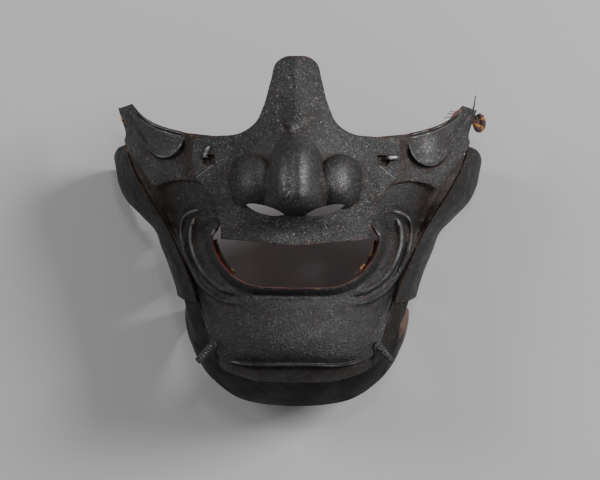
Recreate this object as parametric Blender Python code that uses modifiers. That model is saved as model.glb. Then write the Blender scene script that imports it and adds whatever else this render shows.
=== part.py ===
"""Samurai face guard: a half mask of lacquered iron plates, lying face up on its rear rim.

+Z runs out of the face, +Y to the forehead and +X to the right of the picture. The origin is
on the rear rim's plane under the middle of the mask. All plates follow one form, a rounded
arch whose half width and depth vary from forehead to throat. Each layer of plates is that
form set in by one plate thickness and one gap, so a size changed here carries them all.
"""
import math

import bmesh
import bpy
import numpy as np
from mathutils import Matrix, Vector

# Overall sizes, in metres
HALF_WIDTH = 0.0895
HALF_HEIGHT = 0.0825
FRONT_DEPTH = 0.082
NOSE_RISE = 0.030
ARCH_POWER = 2.35
FLARE_REACH = 0.01
SLOPE_REACH = 0.0005

# Iron plates and their layers, counted from the outside
IRON = 0.0012
PLATE_GAP = 0.00060
LAYER_STEP = IRON + PLATE_GAP
NOSE_LAYER = 0
CHEEK_LAYER = 1
JAW_LAYER = 2
EAR_LAYER = 2
RECESS_LAYER = 3
THROAT_LAYER = 4

# Relief worked into the plates
FOLD_HEIGHT = 0.0019
HOLLOW_DEPTH = 0.0042
POUCH_HEIGHT = 0.0021
CHIN_RISE = 0.0040
EAR_RIDGE = 0.0008
NOSE_BUMP = 0.0014

# Openings through the nose plate
NOSTRIL_LENGTH = 0.0175
NOSTRIL_WIDTH = 0.0050
NOSTRIL_PLACE = (0.172, 0.128)
NOSTRIL_TURN = math.radians(-11)
SLOT_LENGTH = 0.0056
SLOT_WIDTH = 0.0040

# Turning catches that hold the nose plate
CATCH_PLACE = (0.475, 0.435)
CATCH_REACH = 0.0056
CATCH_WIDTH = 0.0024
CATCH_THICKNESS = 0.0010
CATCH_STUD_RADIUS = 0.0009
CATCH_FOOT_RADIUS = 0.0020
CATCH_FOOT_THICKNESS = 0.0008
CATCH_CLEARANCE = 0.00035
CATCH_SIDES = 12
CATCH_TURN_RIGHT = math.radians(0)
CATCH_TURN_LEFT = math.radians(115)

# Cord pegs under the chin
PEG_SECTION = 2.15
PEG_RAIL = 2.93
PEG_LENGTH = 0.0106
PEG_RADIUS = 0.0021
PEG_ROOT_RADIUS = 0.0014
PEG_RIB_DEPTH = 0.0004
PEG_RIBS = 6
PEG_SIDES = 10
PEG_BOSS_RADIUS = 0.0027
PEG_BOSS_HEIGHT = 0.0015
PEG_LEAN_OUT = 0.55
PEG_LEAN_DOWN = 1.35

# Remnants of lining and cord
LINING_THICKNESS = 0.0010
LINING_SHOWS = 0.0024
LINING_HIDDEN = 0.0030
LINING_SECTIONS = (2.3, 4.7)
TUFT_RADIUS = 0.0011
TUFT_LOOP_WIDTH = 0.0040
TUFT_LOOP_HEIGHT = 0.0052
TUFT_PLACE = (0.966, 0.632)
TUFT_POINTS = 14
TUFT_START = math.radians(-60)
TUFT_SWEEP = math.radians(300)
SURFACE_CLEARANCE = 0.0003
LINING_CLEARANCE = 0.0005
SIDE_CLEARANCE = 0.00120

# The form, as shares of HALF_HEIGHT, HALF_WIDTH and FRONT_DEPTH: height, half width, depth
FORM = (
    (1.120, 1.050, 0.890),
    (0.765, 1.061, 0.930),
    (0.386, 1.035, 0.985),
    (0.290, 1.016, 0.990),
    (0.190, 0.973, 0.995),
    (0.090, 0.892, 1.000),
    (0.000, 0.817, 1.005),
    (-0.107, 0.778, 1.010),
    (-0.256, 0.726, 1.010),
    (-0.400, 0.692, 1.005),
    (-0.540, 0.692, 1.000),
    (-0.648, 0.676, 1.000),
    (-0.754, 0.641, 0.993),
    (-0.830, 0.613, 0.945),
    (-0.900, 0.578, 0.866),
    (-0.980, 0.523, 0.740),
    (-1.040, 0.479, 0.630),
    (-1.140, 0.370, 0.430),
)

# Nose along the middle: height, rise as a share of NOSE_RISE, half width, roundness
NOSE = (
    (1.020, 0.330, 0.250, 1.00),
    (0.800, 0.280, 0.250, 1.00),
    (0.700, 0.320, 0.260, 1.00),
    (0.600, 0.430, 0.270, 0.95),
    (0.500, 0.530, 0.245, 0.85),
    (0.400, 0.720, 0.210, 0.75),
    (0.300, 0.900, 0.192, 0.62),
    (0.220, 1.000, 0.186, 0.55),
    (0.170, 0.980, 0.186, 0.55),
    (0.135, 0.860, 0.192, 0.60),
    (0.112, 0.520, 0.230, 0.80),
    (0.090, 0.280, 0.330, 1.00),
    (0.030, 0.190, 0.400, 1.00),
    (-0.080, 0.190, 0.400, 1.00),
)
# Wing of the nose: side place, height, half width, half height, rise as shares
NOSE_WING = (0.256, 0.288, 0.100, 0.148, 0.520)
NOSE_WING_ROUNDNESS = 0.5
NOSE_BLEND_POWER = 6.0
# Wrinkle across the bridge: height, half width, half height
NOSE_WRINKLE = (0.610, 0.065, 0.030)

# Outlines of the nose plate from the middle outward, and from lip to top at the side
NOSE_TOP = (
    (0.000, 1.005),
    (0.060, 1.000),
    (0.104, 0.968),
    (0.132, 0.870),
    (0.166, 0.734),
    (0.208, 0.633),
    (0.290, 0.570),
    (0.400, 0.555),
    (0.539, 0.555),
)
NOSE_SIDE = (
    (0.388, -0.029),
    (0.396, 0.064),
    (0.420, 0.149),
    (0.475, 0.263),
    (0.528, 0.320),
    (0.546, 0.400),
    (0.546, 0.470),
    (0.539, 0.555),
)
NOSE_LIP = (
    (0.000, -0.066),
    (0.129, -0.053),
    (0.286, -0.037),
    (0.388, -0.029),
)

# Cheek plate sections from the wing tip inward: brow edge, pouch edge, outer edge, pouch strength
CHEEK = (
    (0.880, 0.749, 0.943, 0.730, 0.962, 0.729, 0.00),
    (0.817, 0.676, 0.882, 0.610, 0.916, 0.588, 0.60),
    (0.778, 0.648, 0.844, 0.555, 0.921, 0.530, 0.90),
    (0.744, 0.629, 0.810, 0.508, 0.884, 0.459, 1.00),
    (0.712, 0.615, 0.774, 0.466, 0.835, 0.386, 1.00),
    (0.689, 0.607, 0.738, 0.431, 0.782, 0.306, 1.00),
    (0.676, 0.602, 0.719, 0.422, 0.749, 0.268, 1.00),
    (0.662, 0.598, 0.694, 0.418, 0.688, 0.293, 1.00),
    (0.637, 0.591, 0.651, 0.435, 0.607, 0.305, 1.00),
    (0.613, 0.585, 0.616, 0.480, 0.539, 0.297, 0.70),
    (0.597, 0.580, 0.595, 0.525, 0.459, 0.285, 0.30),
    (0.589, 0.577, 0.586, 0.559, 0.417, 0.420, 0.00),
    (0.581, 0.575, 0.576, 0.573, 0.401, 0.552, 0.00),
)
# Across a cheek plate: rail (0 brow, 1 pouch, 2 outer), relief as a share of POUCH_HEIGHT
CHEEK_ACROSS = (
    (0.00, 0.10),
    (0.30, -0.25),
    (0.60, -0.15),
    (0.85, 0.65),
    (1.00, 1.00),
    (1.12, 0.70),
    (1.25, 0.00),
    (1.60, 0.00),
    (2.00, 0.00),
)

# Jaw sections from the chin's middle up the side: mouth, fold, outer fold, crease, edge,
# then fold strength, hollow strength
JAW = (
    (0.000, -0.305, 0.000, -0.359, 0.000, -0.404, 0.000, -0.740, 0.000, -0.846, 0.15, 0.00),
    (0.198, -0.297, 0.229, -0.354, 0.250, -0.402, 0.261, -0.740, 0.253, -0.826, 0.35, 0.10),
    (0.303, -0.256, 0.348, -0.327, 0.387, -0.379, 0.415, -0.680, 0.448, -0.722, 0.80, 0.30),
    (0.377, -0.183, 0.463, -0.252, 0.501, -0.301, 0.487, -0.480, 0.552, -0.526, 1.00, 0.40),
    (0.422, -0.097, 0.526, -0.158, 0.571, -0.182, 0.545, -0.286, 0.622, -0.333, 1.00, 0.20),
    (0.437, -0.018, 0.559, -0.061, 0.605, -0.070, 0.630, -0.073, 0.695, -0.103, 1.00, 0.10),
    (0.414, 0.020, 0.560, 0.020, 0.617, 0.020, 0.690, 0.055, 0.752, 0.035, 1.00, 0.50),
    (0.392, 0.100, 0.535, 0.090, 0.605, 0.100, 0.765, 0.190, 0.845, 0.170, 0.70, 0.90),
    (0.425, 0.206, 0.527, 0.180, 0.635, 0.197, 0.852, 0.349, 0.905, 0.330, 0.00, 0.80),
    (0.465, 0.310, 0.568, 0.318, 0.700, 0.369, 0.900, 0.471, 0.935, 0.458, 0.00, 0.00),
)
# Across the jaw: rail (0 mouth, 1 fold, 2 outer fold, 3 crease, 4 edge), fold, hollow, drop
JAW_ACROSS = (
    (0.00, 0.10, 0.0, 0.0),
    (0.50, 0.25, 0.0, 0.0),
    (1.00, 1.00, 0.0, 0.0),
    (1.30, 0.10, 0.3, 0.0),
    (1.60, -0.20, 0.6, 0.0),
    (2.00, 0.60, 0.6, 0.0),
    (2.20, 0.00, 1.0, 0.0),
    (2.50, 0.00, 1.0, 0.0),
    (2.85, 0.00, 0.3, 0.0),
    (3.00, 0.00, 0.0, 0.0),
    (3.04, 0.00, 0.0, 1.0),
    (3.50, 0.00, 0.0, 1.0),
    (4.00, 0.00, 0.0, 1.0),
)
RECESS_RAIL = 3.04
EDGE_RAIL = 4.0
# Boss of the chin: height, half width and half height as shares, and its fade in rails
CHIN = (-0.600, 0.280, 0.130)
CHIN_FADE = 0.20

# Ear plate sections along the jaw's crease: jaw section, rim height, rim depth as shares
EAR = (
    (3.48, -0.362, 0.170),
    (3.75, -0.300, 0.158),
    (4.25, -0.200, 0.140),
    (5.00, -0.075, 0.110),
    (5.60, 0.020, 0.065),
    (6.20, 0.100, 0.035),
    (6.80, 0.190, 0.006),
    (7.30, 0.277, -0.030),
    (7.80, 0.345, -0.030),
    (8.25, 0.400, 0.030),
    (8.65, 0.450, 0.240),
    (8.95, 0.482, 0.430),
)

# Ridge along an ear plate's lower part: place across, half width and length as shares
EAR_RIDGE_SHARES = (0.40, 0.18, 0.45)

# Throat plate sections from the middle outward: inner edge x and y, outer edge angle and y
THROAT = (
    (0.000, -0.775, 90.0, -0.998),
    (0.136, -0.770, 67.0, -0.990),
    (0.241, -0.750, 42.0, -0.955),
    (0.315, -0.700, 25.0, -0.877),
    (0.364, -0.640, 15.5, -0.785),
    (0.417, -0.555, 9.0, -0.694),
    (0.478, -0.485, 3.0, -0.600),
    (0.522, -0.425, -2.0, -0.510),
    (0.545, -0.395, -2.0, -0.450),
)

IRON_LOOK = ((0.060, 0.054, 0.052, 1.0), 0.55, 0.75)
DARK_IRON_LOOK = ((0.030, 0.028, 0.028, 1.0), 0.50, 0.60)
STEEL_LOOK = ((0.45, 0.44, 0.42, 1.0), 0.35, 1.0)
SILK_LOOK = ((0.18, 0.05, 0.03, 1.0), 0.85, 0.0)
BROCADE_LOOK = ((0.10, 0.07, 0.04, 1.0), 0.85, 0.0)

NOSE_GRID = (16, 26)
CHEEK_GRID = 17
JAW_GRID = 28
EAR_GRID = (14, 6)
THROAT_GRID = (14, 4)
LINING_GRID = (8, 2)


def smooth_table(position, stations, values):
    """Values at given positions, from a cubic curve through a table's rows."""
    stations = np.asarray(stations, float)
    values = np.asarray(values, float)
    steps = np.diff(stations)
    secants = np.diff(values) / steps
    slopes = np.empty_like(values)
    slopes[1:-1] = (secants[:-1] * steps[1:] + secants[1:] * steps[:-1]) / (steps[:-1] + steps[1:])
    slopes[0] = secants[0]
    slopes[-1] = secants[-1]
    position = np.clip(np.asarray(position, float), stations[0], stations[-1])
    index = np.clip(np.searchsorted(stations, position) - 1, 0, len(steps) - 1)
    step = steps[index]
    t = (position - stations[index]) / step
    start = values[index] * (1 + 2 * t) * (1 - t) ** 2 + slopes[index] * step * t * (1 - t) ** 2
    end = values[index + 1] * t * t * (3 - 2 * t) + slopes[index + 1] * step * t * t * (t - 1)
    return start + end


def column(table, index):
    """One column of a table, as an array."""
    return np.array([row[index] for row in table], float)


def form_sizes(height, lift):
    """Half width and depth of the form at a height, set out by lift (in when negative).

    Where the sides flare, the set-out is stretched so that layers stay evenly apart.
    """
    base = height / (HALF_HEIGHT + lift)
    rows = FORM[::-1]
    stations, widths = column(rows, 0), column(rows, 1)
    change = smooth_table(base + FLARE_REACH, stations, widths)
    change = change - smooth_table(base - FLARE_REACH, stations, widths)
    flare = change * HALF_WIDTH / (2 * FLARE_REACH * HALF_HEIGHT)
    stretch = 1 + (np.hypot(1, flare) - 1) * np.clip((base + 0.5) / 0.2, 0, 1)
    half_width = smooth_table(base, stations, widths) * HALF_WIDTH + lift * stretch
    depth = smooth_table(base, column(rows, 0), column(rows, 2)) * FRONT_DEPTH + lift
    return half_width, depth


def depth_at(x, y, lift):
    """Depth of the form over a point of the front view."""
    half_width, depth = form_sizes(y, lift)
    share = np.minimum(np.abs(x) / half_width, 0.9995)
    return depth * (1 - share ** ARCH_POWER) ** (1 / ARCH_POWER)


def angle_at(x, y, lift):
    """Angle round the arch, from the rear rim, of a point of the front view."""
    half_width, _ = form_sizes(y, lift)
    share = np.minimum(np.abs(x) / half_width, 0.9995)
    return np.arccos(share ** (ARCH_POWER / 2))


def angle_of_depth(z, y, lift):
    """Angle round the arch of a point with a given depth, negative behind the rear rim."""
    _, depth = form_sizes(y, lift)
    share = np.abs(z) / depth
    return np.sign(z) * np.arcsin(share ** (ARCH_POWER / 2))


def arch_point(angle, y, lift):
    """Point of the form at an angle round the arch and a height."""
    half_width, depth = form_sizes(y, lift)
    x = half_width * np.cos(angle) ** (2 / ARCH_POWER)
    z = depth * np.sign(angle) * np.abs(np.sin(angle)) ** (2 / ARCH_POWER)
    return np.stack([x, np.broadcast_to(y, x.shape), z], axis=-1)


def layer_lift(layer):
    """Set-out of a layer's outer face."""
    return -layer * LAYER_STEP


def nose_rise(x, y):
    """Rise of the nose and upper lip above the form."""
    across = np.abs(x) / HALF_WIDTH
    height = y / HALF_HEIGHT
    rows = NOSE[::-1]
    rise = smooth_table(height, column(rows, 0), column(rows, 1))
    width = smooth_table(height, column(rows, 0), column(rows, 2))
    roundness = smooth_table(height, column(rows, 0), column(rows, 3))
    body = rise * np.maximum(1 - (across / width) ** 2, 0) ** roundness
    place, middle, half_width, half_height, wing_rise = NOSE_WING
    spread = ((across - place) / half_width) ** 2 + ((height - middle) / half_height) ** 2
    wing = wing_rise * np.maximum(1 - spread, 0) ** NOSE_WING_ROUNDNESS
    power = NOSE_BLEND_POWER
    blend = (body ** power + wing ** power) ** (1 / power)
    middle, half_width, half_height = NOSE_WRINKLE
    bump = np.exp(-(across / half_width) ** 2 - ((height - middle) / half_height) ** 2)
    return NOSE_RISE * blend + NOSE_BUMP * bump


def edge_curve(points, share):
    """Points along an outline, by share of its length, in metres of the front view."""
    outline = np.array(points, float) * (HALF_WIDTH, HALF_HEIGHT)
    lengths = np.concatenate([[0], np.cumsum(np.linalg.norm(np.diff(outline, axis=0), axis=1))])
    place = np.asarray(share) * lengths[-1]
    x = smooth_table(place, lengths, outline[:, 0])
    y = smooth_table(place, lengths, outline[:, 1])
    return np.stack([x, y], axis=-1)


def nose_surface(u, v):
    """Nose plate's half: u from the middle to the side, v from the lip to the top."""
    lip = edge_curve(NOSE_LIP, u)
    top = edge_curve(NOSE_TOP, u)
    side = edge_curve(NOSE_SIDE, v)
    chord = side[..., 0] - ((1 - v) * NOSE_LIP[-1][0] + v * NOSE_TOP[-1][0]) * HALF_WIDTH
    rise = side[..., 1] - ((1 - v) * NOSE_LIP[-1][1] + v * NOSE_TOP[-1][1]) * HALF_HEIGHT
    x = (1 - v) * lip[..., 0] + v * top[..., 0] + u ** 2 * chord
    y = (1 - v) * lip[..., 1] + v * top[..., 1] + u ** 2 * rise
    z = depth_at(x, y, layer_lift(NOSE_LAYER)) + nose_rise(x, y)
    return np.stack([x, y, z], axis=-1)


def rail_point(table, section, rail):
    """Front-view point of a table of sections, at a section and a rail number."""
    stations = np.arange(len(table), dtype=float)
    rails = []
    for number in range((len(table[0]) - 1) // 2):
        x = smooth_table(section, stations, column(table, 2 * number)) * HALF_WIDTH
        y = smooth_table(section, stations, column(table, 2 * number + 1)) * HALF_HEIGHT
        rails.append(np.stack([x, y], axis=-1))
    lower = np.clip(np.floor(rail).astype(int), 0, len(rails) - 2)
    share = (rail - lower)[..., None]
    stack = np.stack(rails)
    picks = np.indices(lower.shape)
    start = stack[(lower, *picks)]
    end = stack[(lower + 1, *picks)]
    return start * (1 - share) + end * share


def cheek_surface(u, v):
    """Cheek plate: u from the wing tip inward, v from the brow edge to the outer edge."""
    section = u * (len(CHEEK) - 1)
    rail = v * CHEEK_ACROSS[-1][0]
    place = rail_point(CHEEK, section, rail)
    x, y = place[..., 0], place[..., 1]
    strength = smooth_table(section, np.arange(len(CHEEK)), column(CHEEK, 6))
    relief = smooth_table(rail, column(CHEEK_ACROSS, 0), column(CHEEK_ACROSS, 1))
    lift = layer_lift(CHEEK_LAYER) + POUCH_HEIGHT * strength * relief
    return np.stack([x, y, depth_at(x, y, lift)], axis=-1)


def jaw_surface(u, v):
    """Jaw plate's half: u from the chin's middle to the top, v from the mouth to the rear."""
    section = u * (len(JAW) - 1)
    rail = v * JAW_ACROSS[-1][0]
    place = rail_point(JAW, section, rail)
    x, y = place[..., 0], place[..., 1]
    stations = np.arange(len(JAW))
    fold = smooth_table(section, stations, column(JAW, 10)) * FOLD_HEIGHT
    hollow = smooth_table(section, stations, column(JAW, 11)) * HOLLOW_DEPTH
    across = column(JAW_ACROSS, 0)
    lift = layer_lift(JAW_LAYER) + fold * smooth_table(rail, across, column(JAW_ACROSS, 1))
    lift = lift - hollow * smooth_table(rail, across, column(JAW_ACROSS, 2))
    drop = np.interp(rail, across, column(JAW_ACROSS, 3))
    lift = lift + drop * (layer_lift(RECESS_LAYER) - layer_lift(JAW_LAYER))
    middle, half_width, half_height = CHIN
    chin = np.exp(-(x / HALF_WIDTH / half_width) ** 2
                  - ((y / HALF_HEIGHT - middle) / half_height) ** 2)
    front = np.clip((RECESS_RAIL - rail) / CHIN_FADE, 0, 1)
    return np.stack([x, y, depth_at(x, y, lift) + CHIN_RISE * chin * front], axis=-1)


def ear_surface(u, v):
    """Ear plate: u from its lower end to its top, v from the jaw's crease to the rear rim."""
    stations = np.arange(len(EAR))
    step = u * (len(EAR) - 1)
    section = smooth_table(step, stations, column(EAR, 0))
    foot = rail_point(JAW, section, np.full(section.shape, RECESS_RAIL))
    outward = rail_point(JAW, section, np.full(section.shape, EDGE_RAIL)) - foot
    inner = foot + SIDE_CLEARANCE * outward / np.linalg.norm(outward, axis=-1, keepdims=True)
    rim_y = smooth_table(step, stations, column(EAR, 1)) * HALF_HEIGHT
    rim_z = smooth_table(step, stations, column(EAR, 2)) * FRONT_DEPTH
    lift = layer_lift(EAR_LAYER)
    start = angle_at(inner[..., 0], inner[..., 1], lift)
    end = angle_of_depth(rim_z, rim_y, lift)
    y = inner[..., 1] * (1 - v) + rim_y * v
    place, half_width, length = EAR_RIDGE_SHARES
    ridge = np.exp(-((v - place) / half_width) ** 2) * np.clip(1 - u / length, 0, 1)
    return arch_point(start * (1 - v) + end * v, y, lift + EAR_RIDGE * ridge)


def throat_surface(u, v):
    """Throat plate's half: u from the middle outward, v from under the jaw to the lower edge."""
    stations = np.arange(len(THROAT))
    step = u * (len(THROAT) - 1)
    inner_x = smooth_table(step, stations, column(THROAT, 0)) * HALF_WIDTH
    inner_y = smooth_table(step, stations, column(THROAT, 1)) * HALF_HEIGHT
    outer_y = smooth_table(step, stations, column(THROAT, 3)) * HALF_HEIGHT
    lift = layer_lift(THROAT_LAYER)
    start = angle_at(inner_x, inner_y, lift)
    end = np.radians(smooth_table(step, stations, column(THROAT, 2)))
    y = inner_y * (1 - v) + outer_y * v
    return arch_point(start * (1 - v) + end * v, y, lift)


def lining_surface(u, v):
    """Lining strip behind the mouth's corner: u along the mouth edge, v outward under the jaw."""
    first, last = LINING_SECTIONS
    section = first + u * (last - first)
    mouth = rail_point(JAW, section, np.zeros(section.shape))
    fold = rail_point(JAW, section, np.ones(section.shape))
    outward = fold - mouth
    outward = outward / np.linalg.norm(outward, axis=-1, keepdims=True)
    reach = (v * (LINING_SHOWS + LINING_HIDDEN) - LINING_SHOWS)[..., None]
    place = mouth + outward * reach
    lift = layer_lift(JAW_LAYER) - IRON - LINING_CLEARANCE
    x, y = place[..., 0], place[..., 1]
    return np.stack([x, y, depth_at(x, y, lift)], axis=-1)


def material_of(name, look):
    """Principled material with a colour, a roughness and a metallic share."""
    colour, roughness, metallic = look
    material = bpy.data.materials.new(name)
    material.use_nodes = True
    shader = material.node_tree.nodes["Principled BSDF"]
    shader.inputs["Base Color"].default_value = colour
    shader.inputs["Roughness"].default_value = roughness
    shader.inputs["Metallic"].default_value = metallic
    return material


def add_object(name, mesh, collection, look):
    """Object of a mesh in a collection, with its own material."""
    thing = bpy.data.objects.new(name, mesh)
    collection.objects.link(thing)
    mesh.materials.append(material_of(name, look))
    return thing


def sheet_mesh(name, surface, columns, rows):
    """Grid whose vertices are put on a surface of two parameters."""
    grid = bmesh.new()
    bmesh.ops.create_grid(grid, x_segments=len(columns) - 1, y_segments=len(rows) - 1, size=1.0)
    grid.verts.ensure_lookup_table()
    flat = np.array([vertex.co[:2] for vertex in grid.verts])
    across = np.rint((flat[:, 0] + 1) / 2 * (len(columns) - 1)).astype(int)
    along = np.rint((flat[:, 1] + 1) / 2 * (len(rows) - 1)).astype(int)
    places = surface(np.asarray(columns)[across], np.asarray(rows)[along])
    for vertex, place in zip(grid.verts, places):
        vertex.co = place
    bmesh.ops.recalc_face_normals(grid, faces=grid.faces)
    if sum(face.normal.z * face.calc_area() for face in grid.faces) < 0:
        bmesh.ops.reverse_faces(grid, faces=grid.faces)
    mesh = bpy.data.meshes.new(name)
    grid.to_mesh(mesh)
    grid.free()
    mesh.shade_smooth()
    return mesh


def mirror_mesh(mesh):
    """Mesh's mirror image across the middle, with its faces pointing out again."""
    image = mesh.copy()
    shape = bmesh.new()
    shape.from_mesh(image)
    bmesh.ops.transform(shape, matrix=Matrix.Scale(-1, 4, Vector((1, 0, 0))), verts=shape.verts)
    bmesh.ops.reverse_faces(shape, faces=shape.faces)
    shape.to_mesh(image)
    shape.free()
    return image


def add_mirror(thing):
    """Mirror modifier that joins a half at the middle."""
    modifier = thing.modifiers.new("Mirror", "MIRROR")
    modifier.use_axis[0] = True
    modifier.use_clip = True
    modifier.merge_threshold = 0.00005


def add_wall(thing, thickness):
    """Solidify modifier that makes a sheet a wall, grown inward from its outer face."""
    modifier = thing.modifiers.new("Wall", "SOLIDIFY")
    modifier.thickness = thickness
    modifier.offset = -1.0
    modifier.use_even_offset = True
    modifier.use_quality_normals = True


def add_cut(thing, cutter):
    """Boolean modifier that takes a cutter out of a piece."""
    modifier = thing.modifiers.new("Cut " + cutter.name, "BOOLEAN")
    modifier.operation = "DIFFERENCE"
    modifier.solver = "EXACT"
    modifier.object = cutter


def add_cutter(name, shape, collection):
    """Cutter object, kept out of the build."""
    mesh = bpy.data.meshes.new(name)
    shape.to_mesh(mesh)
    shape.free()
    cutter = bpy.data.objects.new(name, mesh)
    cutter.hide_render = True
    cutter.display_type = "WIRE"
    collection.objects.link(cutter)
    return cutter


def box_shape(size, centre):
    """Box of a size round a centre."""
    shape = bmesh.new()
    bmesh.ops.create_cube(shape, size=1.0)
    bmesh.ops.scale(shape, vec=Vector(size), verts=shape.verts)
    bmesh.ops.translate(shape, vec=Vector(centre), verts=shape.verts)
    return shape


def rod_shape(radius, bottom, top, sides):
    """Closed rod along Z."""
    shape = bmesh.new()
    bmesh.ops.create_cone(shape, cap_ends=True, segments=sides, radius1=radius, radius2=radius,
                          depth=top - bottom)
    bmesh.ops.translate(shape, vec=Vector((0, 0, (bottom + top) / 2)), verts=shape.verts)
    return shape


def lens_shape(length, width, height, points):
    """Lens-shaped prism along Z, made from a stretched cylinder."""
    shape = bmesh.new()
    bmesh.ops.create_cone(shape, cap_ends=True, segments=points, radius1=0.5, radius2=0.5, depth=1.0)
    bmesh.ops.scale(shape, vec=Vector((length, width, height)), verts=shape.verts)
    return shape


def surface_frame(place, lift, side):
    """Matrix at a front-view place on the form, with Z along the outward normal."""
    x = place[0] * HALF_WIDTH
    y = place[1] * HALF_HEIGHT
    reach = SLOPE_REACH
    point = Vector((x, y, float(depth_at(x, y, lift))))
    slope_x = float(depth_at(x + reach, y, lift) - depth_at(x - reach, y, lift)) / (2 * reach)
    slope_y = float(depth_at(x, y + reach, lift) - depth_at(x, y - reach, lift)) / (2 * reach)
    normal = Vector((-slope_x, -slope_y, 1)).normalized()
    outward = Vector((1, 0, slope_x)).normalized()
    if side < 0:
        point.x, normal.x, outward.x = -point.x, -normal.x, -outward.x
    along = normal.cross(outward).normalized()
    outward = along.cross(normal)
    matrix = Matrix((outward, along, normal)).transposed().to_4x4()
    matrix.translation = point
    return matrix


def add_plates(parts, cutters):
    """All iron plates, with the cuts that they share."""
    rear = add_cutter("rear_cut", box_shape((4 * HALF_WIDTH, 4 * HALF_HEIGHT, FRONT_DEPTH),
                                            (0, 0, -FRONT_DEPTH / 2)), cutters)
    nose_columns = np.linspace(0, 1, NOSE_GRID[0] + 1)
    nose_rows = np.linspace(0, 1, NOSE_GRID[1] + 1)
    nose = add_object("nose_plate", sheet_mesh("nose_plate", nose_surface, nose_columns, nose_rows),
                      parts, IRON_LOOK)
    add_mirror(nose)
    add_wall(nose, IRON)

    jaw_rows = column(JAW_ACROSS, 0) / JAW_ACROSS[-1][0]
    jaw = add_object("jaw_plate", sheet_mesh("jaw_plate", jaw_surface,
                                             np.linspace(0, 1, JAW_GRID + 1), jaw_rows),
                     parts, IRON_LOOK)
    add_mirror(jaw)
    add_wall(jaw, IRON)

    throat = add_object("throat_plate", sheet_mesh("throat_plate", throat_surface,
                                                   np.linspace(0, 1, THROAT_GRID[0] + 1),
                                                   np.linspace(0, 1, THROAT_GRID[1] + 1)),
                        parts, DARK_IRON_LOOK)
    add_mirror(throat)
    add_wall(throat, IRON)
    add_cut(throat, rear)

    cheek_rows = column(CHEEK_ACROSS, 0) / CHEEK_ACROSS[-1][0]
    cheek_right = sheet_mesh("cheek_plate_right", cheek_surface,
                             np.linspace(0, 1, CHEEK_GRID + 1), cheek_rows)
    ear_right = sheet_mesh("ear_plate_right", ear_surface,
                           np.linspace(0, 1, EAR_GRID[0] + 1), np.linspace(0, 1, EAR_GRID[1] + 1))
    lining_right = sheet_mesh("lining_strip_right", lining_surface,
                              np.linspace(0, 1, LINING_GRID[0] + 1),
                              np.linspace(0, 1, LINING_GRID[1] + 1))
    plates = {"nose": nose}
    for side, word in ((1, "right"), (-1, "left")):
        for stem, half, look, thickness in (("cheek_plate", cheek_right, IRON_LOOK, IRON),
                                            ("ear_plate", ear_right, IRON_LOOK, IRON),
                                            ("lining_strip", lining_right, BROCADE_LOOK,
                                             LINING_THICKNESS)):
            mesh = half.copy() if side > 0 else mirror_mesh(half)
            plate = add_object(stem + "_" + word, mesh, parts, look)
            add_wall(plate, thickness)
            if stem == "ear_plate":
                add_cut(plate, rear)
            plates[stem, side] = plate
    return plates


def cut_nose_openings(plates, cutters):
    """Nostrils, catch slots and stud holes."""
    height = 2 * NOSE_RISE
    for side, word in ((1, "right"), (-1, "left")):
        x = side * NOSTRIL_PLACE[0] * HALF_WIDTH
        y = NOSTRIL_PLACE[1] * HALF_HEIGHT
        lens = lens_shape(NOSTRIL_LENGTH, NOSTRIL_WIDTH, height, 16)
        bmesh.ops.rotate(lens, matrix=Matrix.Rotation(-side * NOSTRIL_TURN, 3, "Z"), verts=lens.verts)
        bmesh.ops.translate(lens, vec=Vector((x, y, FRONT_DEPTH + NOSE_RISE / 2)), verts=lens.verts)
        add_cut(plates["nose"], add_cutter("nostril_cut_" + word, lens, cutters))

        frame = surface_frame(CATCH_PLACE, layer_lift(NOSE_LAYER), side)
        reach = CATCH_STUD_RADIUS + CATCH_CLEARANCE
        slot = box_shape((SLOT_LENGTH + reach, SLOT_WIDTH, 4 * IRON),
                         (-(SLOT_LENGTH - reach) / 2, 0, 0))
        bmesh.ops.transform(slot, matrix=frame, verts=slot.verts)
        add_cut(plates["nose"], add_cutter("slot_cut_" + word, slot, cutters))

        hole = rod_shape(reach, -4 * LAYER_STEP, 0.0, 16)
        bmesh.ops.transform(hole, matrix=frame, verts=hole.verts)
        add_cut(plates["cheek_plate", side], add_cutter("stud_cut_" + word, hole, cutters))


def add_union(thing, cutter):
    """Boolean modifier that joins a helper shape to a piece."""
    modifier = thing.modifiers.new("Join " + cutter.name, "BOOLEAN")
    modifier.operation = "UNION"
    modifier.solver = "EXACT"
    modifier.object = cutter


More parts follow.
